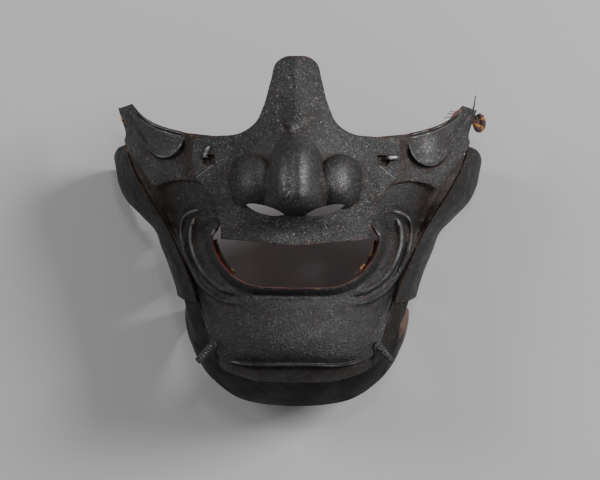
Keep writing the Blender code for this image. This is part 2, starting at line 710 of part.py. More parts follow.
def add_catches(parts, cutters):
    """Turning catches: a stud through nose and cheek plates, an arm above and a foot below."""
    foot_top = -LAYER_STEP - IRON - CATCH_CLEARANCE
    foot_bottom = foot_top - CATCH_FOOT_THICKNESS
    arm_bottom = CATCH_CLEARANCE
    arm_top = arm_bottom + CATCH_THICKNESS
    sink = CATCH_FOOT_THICKNESS / 2
    heel = CATCH_WIDTH / 2
    for side, word, turn in ((1, "right", CATCH_TURN_RIGHT), (-1, "left", CATCH_TURN_LEFT)):
        stud = rod_shape(CATCH_STUD_RADIUS, foot_top - sink, arm_bottom + sink, CATCH_SIDES)
        name = "nose_catch_" + word
        mesh = bpy.data.meshes.new(name)
        stud.to_mesh(mesh)
        stud.free()
        catch = add_object(name, mesh, parts, STEEL_LOOK)
        catch.matrix_world = surface_frame(CATCH_PLACE, layer_lift(NOSE_LAYER), side)
        arm = box_shape((CATCH_REACH + heel, CATCH_WIDTH, CATCH_THICKNESS),
                        ((CATCH_REACH - heel) / 2, 0, (arm_top + arm_bottom) / 2))
        bmesh.ops.transform(arm, matrix=Matrix.Rotation(side * turn, 4, "Z"), verts=arm.verts)
        foot = rod_shape(CATCH_FOOT_RADIUS, foot_bottom, foot_top, CATCH_SIDES)
        for stem, shape in (("arm_", arm), ("foot_", foot)):
            helper = add_cutter(stem + word, shape, cutters)
            helper.matrix_world = catch.matrix_world
            add_union(catch, helper)


def jaw_frame(section, rail, side):
    """Matrix on the jaw's outer face at a section and rail, with Z along the normal."""
    u = section / (len(JAW) - 1)
    v = rail / JAW_ACROSS[-1][0]
    reach = 0.004
    spots = jaw_surface(np.array([u, u + reach, u]), np.array([v, v, v - reach]))
    point, along, across = (Vector(spot) for spot in spots)
    normal = (along - point).cross(across - point).normalized()
    if normal.z < 0:
        normal.negate()
    point.x *= side
    normal.x *= side
    matrix = Vector((0, 0, 1)).rotation_difference(normal).to_matrix().to_4x4()
    matrix.translation = point
    return matrix


def add_pegs(parts, cutters):
    """Ribbed cord pegs, each a turned rod that leans out of an oval boss on the jaw."""
    for side, word in ((1, "right"), (-1, "left")):
        frame = jaw_frame(PEG_SECTION, PEG_RAIL, side)
        normal = frame.col[2].to_3d()
        lean = (normal + Vector((side * PEG_LEAN_OUT, -PEG_LEAN_DOWN, 0))).normalized()
        profile = [(0.0, 0.0), (PEG_ROOT_RADIUS, 0.0)]
        pitch = PEG_LENGTH / (2 * PEG_RIBS)
        for rib in range(2 * PEG_RIBS):
            radius = PEG_RADIUS - PEG_RIB_DEPTH * (rib % 2 == 0)
            profile.append((radius, pitch * (rib + 0.3)))
            profile.append((radius, pitch * (rib + 0.8)))
        profile.append((0.0, PEG_LENGTH))
        shape = bmesh.new()
        points = [shape.verts.new((radius, 0, height)) for radius, height in profile]
        for start, end in zip(points[:-1], points[1:]):
            shape.edges.new((start, end))
        mesh = bpy.data.meshes.new("cord_peg_" + word)
        shape.to_mesh(mesh)
        shape.free()
        peg = add_object("cord_peg_" + word, mesh, parts, IRON_LOOK)
        turn = peg.modifiers.new("Turn", "SCREW")
        turn.steps = PEG_SIDES
        turn.render_steps = PEG_SIDES
        turn.use_merge_vertices = True
        turn.merge_threshold = 0.00005
        turn.use_normal_calculate = True
        tilt = Vector((0, 0, 1)).rotation_difference(lean).to_matrix().to_4x4()
        tilt.translation = frame.translation + normal * (SURFACE_CLEARANCE + PEG_BOSS_HEIGHT)
        peg.matrix_world = tilt
        boss = rod_shape(PEG_BOSS_RADIUS, SURFACE_CLEARANCE,
                         SURFACE_CLEARANCE + PEG_BOSS_HEIGHT, 16)
        helper = add_cutter("boss_" + word, boss, cutters)
        helper.matrix_world = frame
        add_union(peg, helper)


def add_tuft(parts):
    """Remnant of silk cord at the right wing tip, a short upright loop."""
    x = TUFT_PLACE[0] * HALF_WIDTH
    y = TUFT_PLACE[1] * HALF_HEIGHT
    under = layer_lift(CHEEK_LAYER) - IRON - 2 * SURFACE_CLEARANCE - TUFT_RADIUS
    z = float(depth_at(x - TUFT_LOOP_WIDTH, y, under))
    curve = bpy.data.curves.new("cord_tuft", "CURVE")
    curve.dimensions = "3D"
    curve.bevel_depth = TUFT_RADIUS
    curve.bevel_resolution = 2
    curve.use_fill_caps = True
    spline = curve.splines.new("POLY")
    spline.points.add(TUFT_POINTS - 1)
    for index in range(TUFT_POINTS):
        angle = TUFT_START + TUFT_SWEEP * index / (TUFT_POINTS - 1)
        spline.points[index].co = (x - TUFT_LOOP_WIDTH * math.cos(angle),
                                   y - TUFT_LOOP_HEIGHT * math.sin(angle),
                                   z - TUFT_RADIUS * (1 - math.cos(angle)), 1.0)
    tuft = bpy.data.objects.new("cord_tuft", curve)
    curve.materials.append(material_of("cord_tuft", SILK_LOOK))
    parts.objects.link(tuft)


def main():
    """Build the face guard in an empty scene."""
    for thing in list(bpy.data.objects):
        bpy.data.objects.remove(thing)
    parts = bpy.data.collections.new("samurai_face_guard")
    cutters = bpy.data.collections.new("cutters")
    for collection in (parts, cutters):
        bpy.context.scene.collection.children.link(collection)
    plates = add_plates(parts, cutters)
    cut_nose_openings(plates, cutters)
    add_catches(parts, cutters)
    add_pegs(parts, cutters)
    add_tuft(parts)


main()
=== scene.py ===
"""Looks of a samurai face guard that lies face up on pale grey paper.

The iron plates are smooth surfaces worked out with numpy on the same rounded arch as the solid
model, each grown to a wall and finished with pitted russet iron outside and red lacquer inside.
"""
from __future__ import annotations

import logging
import math
from dataclasses import dataclass
from enum import Enum

import bpy
import numpy as np
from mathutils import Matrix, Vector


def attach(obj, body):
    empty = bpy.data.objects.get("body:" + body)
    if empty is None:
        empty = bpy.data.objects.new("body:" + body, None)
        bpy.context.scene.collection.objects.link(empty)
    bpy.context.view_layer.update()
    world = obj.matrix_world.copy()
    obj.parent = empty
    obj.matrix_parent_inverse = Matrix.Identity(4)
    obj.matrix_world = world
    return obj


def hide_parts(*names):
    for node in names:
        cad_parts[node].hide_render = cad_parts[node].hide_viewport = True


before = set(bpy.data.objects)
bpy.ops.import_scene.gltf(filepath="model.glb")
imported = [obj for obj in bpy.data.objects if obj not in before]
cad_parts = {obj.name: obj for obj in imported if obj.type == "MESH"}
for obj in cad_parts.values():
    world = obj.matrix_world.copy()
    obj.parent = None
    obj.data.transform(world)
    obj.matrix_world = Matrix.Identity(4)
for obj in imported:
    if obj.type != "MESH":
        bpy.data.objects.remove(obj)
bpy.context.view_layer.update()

LOG = logging.getLogger("face_guard")
Array = np.ndarray
Colour = tuple[float, float, float]
FULL_BEND = 90.0
ASKEW = (0.31, 0.52, 0.79)


class Side(Enum):
    """Side of the mask in the picture, by the sign of X."""

    LEFT = -1
    RIGHT = 1

    @property
    def word(self) -> str:
        """Lower-case name, as the nodes use it."""
        return self.name.lower()


class Face(Enum):
    """Material slots of a plate's wall."""

    OUTER = 0
    INNER = 1


class Rail(Enum):
    """Lines along the jaw that its sections run through, from the mouth outward."""

    MOUTH = 0.0
    LIP = 1.0
    FOLD = 2.0
    CREASE = 3.0
    FLANGE = 4.0


RED_RIM = (Face.OUTER, Face.OUTER, Face.INNER, Face.OUTER)


def smooth_table(position: Array, stations: Array, values: Array) -> Array:
    """Read a table at any position through a smooth curve.

    Between two rows the curve is a cubic whose slopes at the rows are the weighted means of the
    straight slopes on both sides.

    Args:
        position: Where to read, any shape.
        stations: Rising row positions.
        values: Row values.

    Returns:
        The values, shaped like position.
    """
    stations = np.asarray(stations, float)
    values = np.asarray(values, float)
    steps = np.diff(stations)
    secants = np.diff(values) / steps
    slopes = np.empty_like(values)
    slopes[1:-1] = (secants[:-1] * steps[1:] + secants[1:] * steps[:-1]) / (steps[:-1] + steps[1:])
    slopes[0] = secants[0]
    slopes[-1] = secants[-1]
    position = np.clip(np.asarray(position, float), stations[0], stations[-1])
    index = np.clip(np.searchsorted(stations, position) - 1, 0, len(steps) - 1)
    step = steps[index]
    t = (position - stations[index]) / step
    start = values[index] * (1 + 2 * t) * (1 - t) ** 2 + slopes[index] * step * t * (1 - t) ** 2
    end = values[index + 1] * t * t * (3 - 2 * t) + slopes[index + 1] * step * t * t * (t - 1)
    return start + end


def column(table: tuple, index: int) -> Array:
    """One column of a table."""
    return np.array([row[index] for row in table], float)


def read_rows(table: tuple, row: Array, index: int) -> Array:
    """One column of a table at row numbers with fractions, on a smooth curve."""
    return smooth_table(row, np.arange(len(table)), column(table, index))


def unit(vectors: Array) -> Array:
    """Vectors brought to length one."""
    return vectors / np.linalg.norm(vectors, axis=-1, keepdims=True)


def bell(value: Array, middle: float, width: float) -> Array:
    """Bell curve, e to the minus square of the distance from middle in widths."""
    return np.exp(-(((value - middle) / width) ** 2))


def ease(value: Array, start: float, end: float) -> Array:
    """Smooth step from 0 at start to 1 at end."""
    t = np.clip((value - start) / (end - start), 0, 1)
    return t * t * (3 - 2 * t)


@dataclass(frozen=True)
class Form:
    """The rounded arch that all plates follow, in metres."""

    half_width: float = 0.0895
    half_height: float = 0.0825
    front_depth: float = 0.082
    arch_power: float = 2.35
    flare_reach: float = 0.01
    iron: float = 0.0012
    plate_gap: float = 0.0006
    side_limit: float = 0.9995
    rows: tuple = (
        (1.120, 1.050, 0.890),
        (0.765, 1.061, 0.930),
        (0.386, 1.035, 0.985),
        (0.290, 1.016, 0.990),
        (0.190, 0.973, 0.995),
        (0.090, 0.892, 1.000),
        (0.000, 0.817, 1.005),
        (-0.107, 0.778, 1.010),
        (-0.256, 0.726, 1.010),
        (-0.400, 0.692, 1.005),
        (-0.540, 0.692, 1.000),
        (-0.648, 0.676, 1.000),
        (-0.754, 0.641, 0.993),
        (-0.830, 0.613, 0.945),
        (-0.900, 0.578, 0.866),
        (-0.980, 0.523, 0.740),
        (-1.040, 0.479, 0.630),
        (-1.140, 0.370, 0.430),
    )

    def lift(self, layer: int) -> float:
        """Set-out of a layer's outer face, negative inward."""
        return -layer * (self.iron + self.plate_gap)

    def sizes(self, y: Array, lift: Array) -> tuple[Array, Array]:
        """Half width and depth of the arch.

        Args:
            y: Height on the face.
            lift: Set-out from the outermost form.

        Returns:
            Half width and depth. Where the sides flare, the set-out is stretched by the length
            of the flare's slope.
        """
        base = y / (self.half_height + lift)
        rows = self.rows[::-1]
        stations, widths = column(rows, 0), column(rows, 1)
        change = smooth_table(base + self.flare_reach, stations, widths)
        change = change - smooth_table(base - self.flare_reach, stations, widths)
        flare = change * self.half_width / (2 * self.flare_reach * self.half_height)
        stretch = 1 + (np.hypot(1, flare) - 1) * np.clip((base + 0.5) / 0.2, 0, 1)
        half_width = smooth_table(base, stations, widths) * self.half_width + lift * stretch
        depth = smooth_table(base, stations, column(rows, 2)) * self.front_depth + lift
        return half_width, depth

    def depth(self, x: Array, y: Array, lift: Array) -> Array:
        """Depth over a point of the front view.

        Across the face the arch is a superellipse: the depth is that of the middle times the
        root of one less the share across, both to the arch's power.

        Args:
            x: Front-view x.
            y: Front-view y.
            lift: Set-out from the outermost form.

        Returns:
            Depths in metres.
        """
        half_width, depth = self.sizes(y, lift)
        share = np.minimum(np.abs(x) / half_width, self.side_limit)
        return depth * (1 - share ** self.arch_power) ** (1 / self.arch_power)

    def angle(self, x: Array, y: Array, lift: Array) -> Array:
        """Angle round the arch of a point of the front view.

        Args:
            x: Front-view x.
            y: Front-view y.
            lift: Set-out from the outermost form.

        Returns:
            Angles in radians, 0 at the side and a quarter turn in the middle.
        """
        half_width, _ = self.sizes(y, lift)
        share = np.minimum(np.abs(x) / half_width, self.side_limit)
        return np.arccos(share ** (self.arch_power / 2))

    def angle_of_depth(self, z: Array, y: Array, lift: Array) -> Array:
        """Angle round the arch of a point with a given depth."""
        _, depth = self.sizes(y, lift)
        return np.arcsin(np.clip(z / depth, 0, 1) ** (self.arch_power / 2))

    def point(self, angle: Array, y: Array, lift: Array) -> Array:
        """Points of the arch at an angle and a height.

        Args:
            angle: Angle round the arch.
            y: Height on the face.
            lift: Set-out from the outermost form.

        Returns:
            Points, last axis 3, on the right half.
        """
        half_width, depth = self.sizes(y, lift)
        x = half_width * np.cos(angle) ** (2 / self.arch_power)
        z = depth * np.sin(angle) ** (2 / self.arch_power)
        return np.stack([x, np.broadcast_to(y, x.shape), z], axis=-1)


def outline_point(points: tuple, share: Array) -> Array:
    """Points along a front-view outline, on a smooth curve.

    Args:
        points: Outline in shares of the form's half width and half height.
        share: Share of the outline's length.

    Returns:
        Points, last axis 2, in metres.
    """
    outline = np.array(points, float) * (FORM.half_width, FORM.half_height)
    lengths = np.concatenate([[0], np.cumsum(np.linalg.norm(np.diff(outline, axis=0), axis=1))])
    place = np.asarray(share) * lengths[-1]
    x = smooth_table(place, lengths, outline[:, 0])
    y = smooth_table(place, lengths, outline[:, 1])
    return np.stack([x, y], axis=-1)


@dataclass(frozen=True)
class Crease:
    """A line forged into a plate: metal swells up to it, drops beyond it and leaves a groove.

    The points are shares of the half width and half height. Seen along the line, the swell is
    on the right and the drop on the left.
    """

    points: tuple
    height: float
    swell: float
    drop: float
    groove: float = 0.0
    groove_width: float = 0.001
    fades: tuple[float, float] = (0.15, 0.15)
    samples: int = 140

    def relief(self, x: Array, y: Array) -> Array:
        """Height of the crease over points of the front view.

        The nearest point of the line gives a signed distance. Below zero the height eases up over
        the swell, above zero it eases down over the drop, and a bell-shaped groove lies at the
        end of the drop. All fade out over the shares of the length at the line's ends, and a
        share of 0 leaves the far end at full height.

        Args:
            x: Front-view x, either side.
            y: Front-view y.

        Returns:
            Heights in metres.
        """
        share = np.linspace(0, 1, self.samples)
        line = outline_point(self.points, share)
        tangent = unit(np.gradient(line, axis=0))
        place = np.stack([np.abs(x), y], axis=-1)
        gaps = ((place[..., None, :] - line) ** 2).sum(axis=-1)
        near = gaps.argmin(axis=-1)
        delta = place - line[near]
        across = tangent[near, 0] * delta[..., 1] - tangent[near, 1] * delta[..., 0]
        along = (tangent[near] * delta).sum(axis=-1)
        length = np.linalg.norm(np.diff(line, axis=0), axis=1).sum()
        travel = share[near] + along / length
        start, end = self.fades
        fade = ease(travel, 0, start)
        if end:
            fade = fade * (1 - ease(travel, 1 - end, 1))
        rise = np.where(across < 0, ease(across, -self.swell, 0), 1 - ease(across, 0, self.drop))
        foot = ease(across, 0, self.drop) * bell(across, self.drop, self.groove_width)
        return (self.height * rise - self.groove * foot) * fade


@dataclass(frozen=True)
class Hammering:
    """Soft unevenness of forged iron: a seeded sum of plane waves through space."""

    height: float = 0.00009
    longest: float = 0.016
    shortest: float = 0.0045
    waves: int = 26
    seed: int = 11

    def at(self, points: Array) -> Array:
        """Height of the unevenness: the mean of sines along random directions.

        Args:
            points: Places in metres, last axis 3.

        Returns:
            Heights in metres.
        """
        rng = np.random.default_rng(self.seed)
        directions = unit(rng.normal(size=(self.waves, 3)))
        lengths = np.exp(rng.uniform(math.log(self.shortest), math.log(self.longest), self.waves))
        turns = directions * (2 * math.pi / lengths)[:, None]
        phases = rng.uniform(0, 2 * math.pi, self.waves)
        weights = lengths / self.longest
        field_value = np.sin(points @ turns.T + phases) @ weights
        return self.height * field_value / math.sqrt(self.waves / 4)


# Thread colours, counted from 0 in the tables of the tuft and of the wing threads.
SILKS = {
    "green": (0.022, 0.030, 0.022),
    "red": (0.120, 0.008, 0.008),
    "gold": (0.420, 0.200, 0.020),
    "maroon": (0.100, 0.020, 0.014),
}
# Scratched lines on the nose plate, each from x, y to x, y, and alike on both sides.
SCRIBES = ((0.0385, 0.0325, 0.0465, 0.0262),)
FORM = Form()
HAMMER = Hammering()


def grid_normals(points: Array) -> Array:
    """Unit normals of a grid: the cross product of its steps along both parameters.

    Args:
        points: Grid of points.

    Returns:
        Normals, towards the viewer on the whole.
    """
    normals = np.cross(np.gradient(points, axis=0), np.gradient(points, axis=1))
    normals /= np.maximum(np.linalg.norm(normals, axis=-1, keepdims=True), 1e-12)
    return normals if normals[..., 2].sum() > 0 else -normals


def grid_wear(points: Array, normals: Array) -> Array:
    """Convexity of a grid: how far a point stands out of its neighbours' mean.

    The height over the mean is divided by the squared spacing, smoothed twice each way and
    squeezed by a hyperbolic tangent.

    Args:
        points: Grid of points.
        normals: Their normals.

    Returns:
        Wear from 0 in a groove over 0.5 on a flat to 1 on a ridge.
    """
    near = np.zeros(points.shape)
    near[1:-1, 1:-1] = (points[2:, 1:-1] + points[:-2, 1:-1]
                        + points[1:-1, 2:] + points[1:-1, :-2]) / 4 - points[1:-1, 1:-1]
    spacing = np.linalg.norm(np.gradient(points, axis=0), axis=-1)
    spacing = spacing ** 2 + np.linalg.norm(np.gradient(points, axis=1), axis=-1) ** 2
    bend = -(near * normals).sum(axis=-1) / np.maximum(spacing, 1e-12)
    for axis in (0, 1):
        for _ in range(2):
            bend = (np.roll(bend, 1, axis) + 2 * bend + np.roll(bend, -1, axis)) / 4
    return 0.5 + 0.5 * np.tanh(bend / FULL_BEND)


def new_object(name: str, mesh: bpy.types.Mesh) -> bpy.types.Object:
    """Object of a mesh at the origin, linked to the scene.

    Args:
        name: Object name.
        mesh: Its mesh.

    Returns:
        The object.
    """
    thing = bpy.data.objects.new(name, mesh)
    bpy.context.scene.collection.objects.link(thing)
    return thing


def mesh_from(name: str, points: Array, faces: Array, slots: Array | None = None) -> bpy.types.Mesh:
    """Smooth mesh from whole arrays.

    Args:
        name: Mesh name.
        points: Vertices, n by 3.
        faces: Quads or triangles, m by 4 or m by 3.
        slots: Material index of each face.

    Returns:
        The mesh, with its faces shaded smooth.
    """
    mesh = bpy.data.meshes.new(name)
    count, corners = faces.shape
    mesh.vertices.add(len(points))
    mesh.vertices.foreach_set("co", points.astype(np.float32).ravel())
    mesh.loops.add(count * corners)
    mesh.loops.foreach_set("vertex_index", faces.astype(np.int32).ravel())
    mesh.polygons.add(count)
    mesh.polygons.foreach_set("loop_start", np.arange(0, count * corners, corners, dtype=np.int32))
    if slots is not None:
        mesh.polygons.foreach_set("material_index", slots.astype(np.int32))
    mesh.update(calc_edges=True)
    mesh.validate()
    mesh.shade_smooth()
    return mesh


def quads_of(index: Array, flip: bool = False) -> Array:
    """Quads between neighbouring cells of a grid.

    Args:
        index: Vertex numbers of the grid.
        flip: Turn the quads over.

    Returns:
        Quads, n by 4.
    """
    ring = [index[:-1, :-1], index[1:, :-1], index[1:, 1:], index[:-1, 1:]]
    faces = np.stack([corner.ravel() for corner in ring], axis=1)
    return faces[:, ::-1] if flip else faces


def border_distance(points: Array) -> Array:
    """Distance to the nearest border, measured along the point's row or column.

    Args:
        points: Grid of points.

    Returns:
        Distances in metres by grid point.
    """
    reach = np.full(points.shape[:2], np.inf)
    for axis in (0, 1):
        steps = np.linalg.norm(np.diff(points, axis=axis), axis=-1)
        ahead = np.cumsum(steps, axis=axis)
        pad = [(0, 0), (0, 0)]
        pad[axis] = (1, 0)
        ahead = np.pad(ahead, pad)
        total = np.take(ahead, [-1], axis=axis)
        reach = np.minimum(reach, np.minimum(ahead, total - ahead))
    return reach


def mark_points(mesh: bpy.types.Mesh, name: str, values: Array) -> None:
    """Store a number on every vertex of a mesh."""
    attribute = mesh.attributes.new(name, "FLOAT", "POINT")
    attribute.data.foreach_set("value", values.astype(np.float32))


@dataclass
class Wall:
    """A closed wall between an outer and an inner grid of points."""

    name: str
    outer: Array
    inner: Array
    edge_round: float = 0.00022
    rim_slots: tuple[Face, Face, Face, Face] = (Face.OUTER, Face.OUTER, Face.OUTER, Face.OUTER)
    tint: Array | float = 0.0

    def build(self) -> bpy.types.Object:
        """Make the wall: both grids and the rims between them.

        Returns:
            Object with an outer and an inner material slot, a wear attribute from 0 in grooves
            to 1 on ridges, an edge attribute with the distance to the border, and a tint attribute:
            0 to 1 is brown dirt with painted shade, above that near-black painted shade, below 0 a painted
            highlight.
        """
        outer, inner = self.outer, self.inner
        normals = grid_normals(outer)
        rows, cols = outer.shape[:2]
        marks = {"wear": grid_wear(outer, normals), "edge": border_distance(outer),
                 "tint": np.broadcast_to(self.tint, (rows, cols))}
        front = np.arange(rows * cols).reshape(rows, cols)
        back = front + rows * cols
        steps = np.cross(outer[1, 0] - outer[0, 0], outer[0, 1] - outer[0, 0])
        flip = bool(np.dot(steps, normals[0, 0]) < 0)
        parts = [quads_of(front, flip), quads_of(back, not flip)]
        slots = [np.full(len(parts[0]), Face.OUTER.value), np.full(len(parts[1]), Face.INNER.value)]
        borders = ((front[0], back[0], flip), (front[-1], back[-1], not flip),
                   (front[:, 0], back[:, 0], not flip), (front[:, -1], back[:, -1], flip))
        for (near, far, turn), slot in zip(borders, self.rim_slots):
            strip = quads_of(np.stack([near, far], axis=1), turn)
            parts.append(strip)
            slots.append(np.full(len(strip), slot.value))
        points = np.concatenate([outer.reshape(-1, 3), inner.reshape(-1, 3)])
        mesh = mesh_from(self.name, points, np.concatenate(parts), np.concatenate(slots))
        for key, values in marks.items():
            mark_points(mesh, key, np.concatenate([values.ravel()] * 2))
        self.round_edges(mesh, front, back)
        thing = new_object(self.name, mesh)
        bevel = thing.modifiers.new("Edges", "BEVEL")
        bevel.limit_method = "WEIGHT"
        bevel.width = self.edge_round
        bevel.segments = 2
        return thing

    def round_edges(self, mesh: bpy.types.Mesh, front: Array, back: Array) -> None:
        """Give full bevel weight to the edges that run along the rims.

        Args:
            mesh: Wall mesh.
            front: Vertex numbers of the outer grid.
            back: Vertex numbers of the inner grid.
        """
        ring = np.zeros(front.size * 2, int)
        for mark, grid in ((1, front), (2, back)):
            for border in (grid[0], grid[-1], grid[:, 0], grid[:, -1]):
                ring[border] = mark
        pairs = np.empty(len(mesh.edges) * 2, np.int32)
        mesh.edges.foreach_get("vertices", pairs)
        pairs = pairs.reshape(-1, 2)
        along = (ring[pairs[:, 0]] > 0) & (ring[pairs[:, 0]] == ring[pairs[:, 1]])
        weight = mesh.attributes.new("bevel_weight_edge", "FLOAT", "EDGE")
        weight.data.foreach_set("value", along.astype(np.float32))


def tube(path: Array, radius: Array, sides: int = 10) -> Array:
    """Rings of a round tube along a path, each square to it.

    Args:
        path: Points along the middle, n by 3.
        radius: Radius at each point, or one for all.
        sides: Points round each ring.

    Returns:
        Rings by sides by 3.
    """
    along = unit(np.gradient(path, axis=0))
    first = unit(np.cross(along, ASKEW))
    second = np.cross(along, first)
    turn = np.linspace(0, 2 * math.pi, sides, endpoint=False)[:, None]
    ring = first[:, None] * np.cos(turn) + second[:, None] * np.sin(turn)
    return path[:, None] + ring * np.broadcast_to(radius, len(path))[:, None, None]


def lathe(profile: Array, frame_rows: Array, sides: int = 24) -> Array:
    """Rings of a turned shape round the third row of a frame.

    Args:
        profile: Rows of radius and height.
        frame_rows: Three directions and the origin.
        sides: Points round each ring.

    Returns:
        Rings by sides by 3.
    """
    first, second, third, origin = frame_rows
    turn = np.linspace(0, 2 * math.pi, sides, endpoint=False)[:, None]
    ring = first * np.cos(turn) + second * np.sin(turn)
    return origin + profile[:, :1, None] * ring + profile[:, 1:, None] * third


def shell(rings: Array) -> tuple[Array, Array]:
    """Closed shell over rings, with a fan at each end and its faces outward.

    Args:
        rings: Rings by points by 3.

    Returns:
        Vertices and triangles.
    """
    count, sides = rings.shape[:2]
    index = np.arange(count * sides).reshape(count, sides)
    wrapped = np.concatenate([index, index[:, :1]], axis=1)
    quads = quads_of(wrapped)
    points = np.concatenate([rings.reshape(-1, 3), rings[[0, -1]].mean(axis=1)])
    start, end = wrapped[0], wrapped[-1]
    first = np.stack([start[:-1], start[1:], np.full(sides, count * sides)], axis=1)
    last = np.stack([end[1:], end[:-1], np.full(sides, count * sides + 1)], axis=1)
    faces = np.concatenate([quads[:, [0, 1, 2]], quads[:, [0, 2, 3]], first, last])
    a, b, c = (points[faces[:, corner]] for corner in range(3))
    volume = (a * np.cross(b, c)).sum()
    return points, faces if volume > 0 else faces[:, ::-1]


def shells_mesh(name: str, shells: list[tuple[Array, Array]],
                slots: list[int] | None = None) -> bpy.types.Mesh:
    """One mesh of several closed shells.

    Args:
        name: Mesh name.
        shells: Vertices and triangles of each.
        slots: Material slot of each shell.

    Returns:
        The mesh.
    """
    offsets = np.cumsum([0] + [len(points) for points, _ in shells[:-1]])
    points = np.concatenate([points for points, _ in shells])
    faces = np.concatenate([faces + offset for (_, faces), offset in zip(shells, offsets)])
    numbers = slots or [0] * len(shells)
    marks = np.concatenate([np.full(len(faces), number) for (_, faces), number in zip(shells, numbers)])
    mesh = mesh_from(name, points, faces, marks)
    for key, value in (("wear", 0.5), ("edge", 1.0)):
        mark_points(mesh, key, np.full(len(points), value))
    return mesh


class Bench:
    """Short hand for building one procedural material."""

    def __init__(self, name: str) -> None:
        """Start a material with a Principled shader.

        Args:
            name: Material name.
        """
        self.material = bpy.data.materials.new(name)
        self.material.use_nodes = True
        self.nodes = self.material.node_tree.nodes
        self.links = self.material.node_tree.links
        self.shader = self.nodes["Principled BSDF"]
        self.place = self.nodes.new("ShaderNodeTexCoord").outputs["Object"]

    @staticmethod
    def fill(node: bpy.types.Node, values: dict[str, float]) -> None:
        """Set plain inputs of a node, named with underscores for spaces."""
        for key, value in values.items():
            node.inputs[key.replace("_", " ")].default_value = value

    def set(self, **values: float) -> None:
        """Set plain inputs of the shader."""
        self.fill(self.shader, values)

    def node(self, kind: str, **values: float) -> bpy.types.Node:
        """Add a node.

        Args:
            kind: End of the node's type name.
            **values: Plain inputs, named with underscores for spaces.

        Returns:
            The node.
        """
        node = self.nodes.new("ShaderNode" + kind)
        self.fill(node, values)
        return node

    def plug(self, socket: object, target: object) -> None:
        """Link an output to an input, or set the input to a number.

        Args:
            socket: Output, number or colour.
            target: Input.
        """
        if isinstance(socket, (int, float, tuple)):
            target.default_value = socket
        else:
            self.links.new(socket, target)

    def noise(self, scale: float, detail: float, rough: float) -> object:
        """Noise value over the piece.

        Args:
            scale: Features per metre.
            detail: Number of finer layers.
            rough: Share of each finer layer.

        Returns:
            A value socket.
        """
        node = self.node("TexNoise", Scale=scale, Detail=detail, Roughness=rough)
        self.links.new(self.place, node.inputs["Vector"])
        return node.outputs["Fac"]

    def cells(self, scale: float) -> object:
        """Distance to the nearest of scattered points.

        Args:
            scale: Points per metre.

        Returns:
            A value socket.
        """
        node = self.node("TexVoronoi", Scale=scale)
        self.links.new(self.place, node.inputs["Vector"])
        return node.outputs["Distance"]

    def ramp(self, value: object, low: float, high: float, start: float = 0.0, end: float = 1.0) -> object:
        """Value spread from one range to another and kept inside it.

        Args:
            value: Value socket.
            low: Value that gives the start.
            high: Value that gives the end.
            start: Result at low.
            end: Result at high.

        Returns:
            A value socket.
        """
        node = self.node("MapRange", From_Min=low, From_Max=high, To_Min=start, To_Max=end)
        self.links.new(value, node.inputs["Value"])
        return node.outputs["Result"]

    def math(self, kind: str, first: object, second: object = 0.0) -> object:
        """Arithmetic on two values.

        Args:
            kind: Operation.
            first: Socket or number.
            second: Socket or number.

        Returns:
            A value socket.
        """
        node = self.node("Math")
        node.operation = kind
        self.plug(first, node.inputs[0])
        self.plug(second, node.inputs[1])
        return node.outputs["Value"]

    def blend(self, share: object, first: object, second: object) -> object:
        """Colour between two colours.

        Args:
            share: Socket or number, 0 for the first colour and 1 for the second.
            first: Socket or colour.
            second: Socket or colour.

        Returns:
            A colour socket.
        """
        node = self.node("Mix")
        node.data_type = "RGBA"
        self.plug(share, node.inputs["Factor"])
        for socket, name in ((first, "A"), (second, "B")):
            target = next(i for i in node.inputs if i.name == name and i.type == "RGBA")
            value = (*socket, 1.0) if isinstance(socket, tuple) else socket
            self.plug(value, target)
        return next(o for o in node.outputs if o.type == "RGBA")

    def attribute(self, name: str) -> object:
        """A value stored on the mesh.

        Args:
            name: Attribute name.

        Returns:
            A value socket.
        """
        node = self.node("Attribute")
        node.attribute_name = name
        return node.outputs["Fac"]

    def axis(self, letter: str) -> object:
        """One coordinate of the piece.

        Args:
            letter: X, Y or Z.

        Returns:
            A value socket.
        """
        node = self.node("SeparateXYZ")
        self.links.new(self.place, node.inputs["Vector"])
        return node.outputs[letter]

    def bump(self, height: object, depth: float) -> None:
        """Add bump on top of what is there.

        Args:
            height: Value socket from 0 to 1.
            depth: Real depth in metres.
        """
        node = self.node("Bump", Distance=depth, Strength=1.0)
        self.links.new(height, node.inputs["Height"])
        below = self.shader.inputs["Normal"].links
        if below:
            self.links.new(below[0].from_socket, node.inputs["Normal"])
        self.links.new(node.outputs["Normal"], self.shader.inputs["Normal"])

    def paint(self, socket_name: str, value: object) -> None:
        """Feed one shader socket.

        Args:
            socket_name: Name of the input.
            value: Output, number or colour.
        """
        self.plug(value, self.shader.inputs[socket_name])


class Finish:
    """A finish, which lays its coats on a bench."""

    def coat(self, bench: Bench) -> None:
        """Lay on the coats; each finish has its own."""
        raise NotImplementedError

    def material(self, name: str) -> bpy.types.Material:
        """Build the material.

        Args:
            name: Material name.

        Returns:
            The material.
        """
        bench = Bench(name)
        self.coat(bench)
        return bench.material


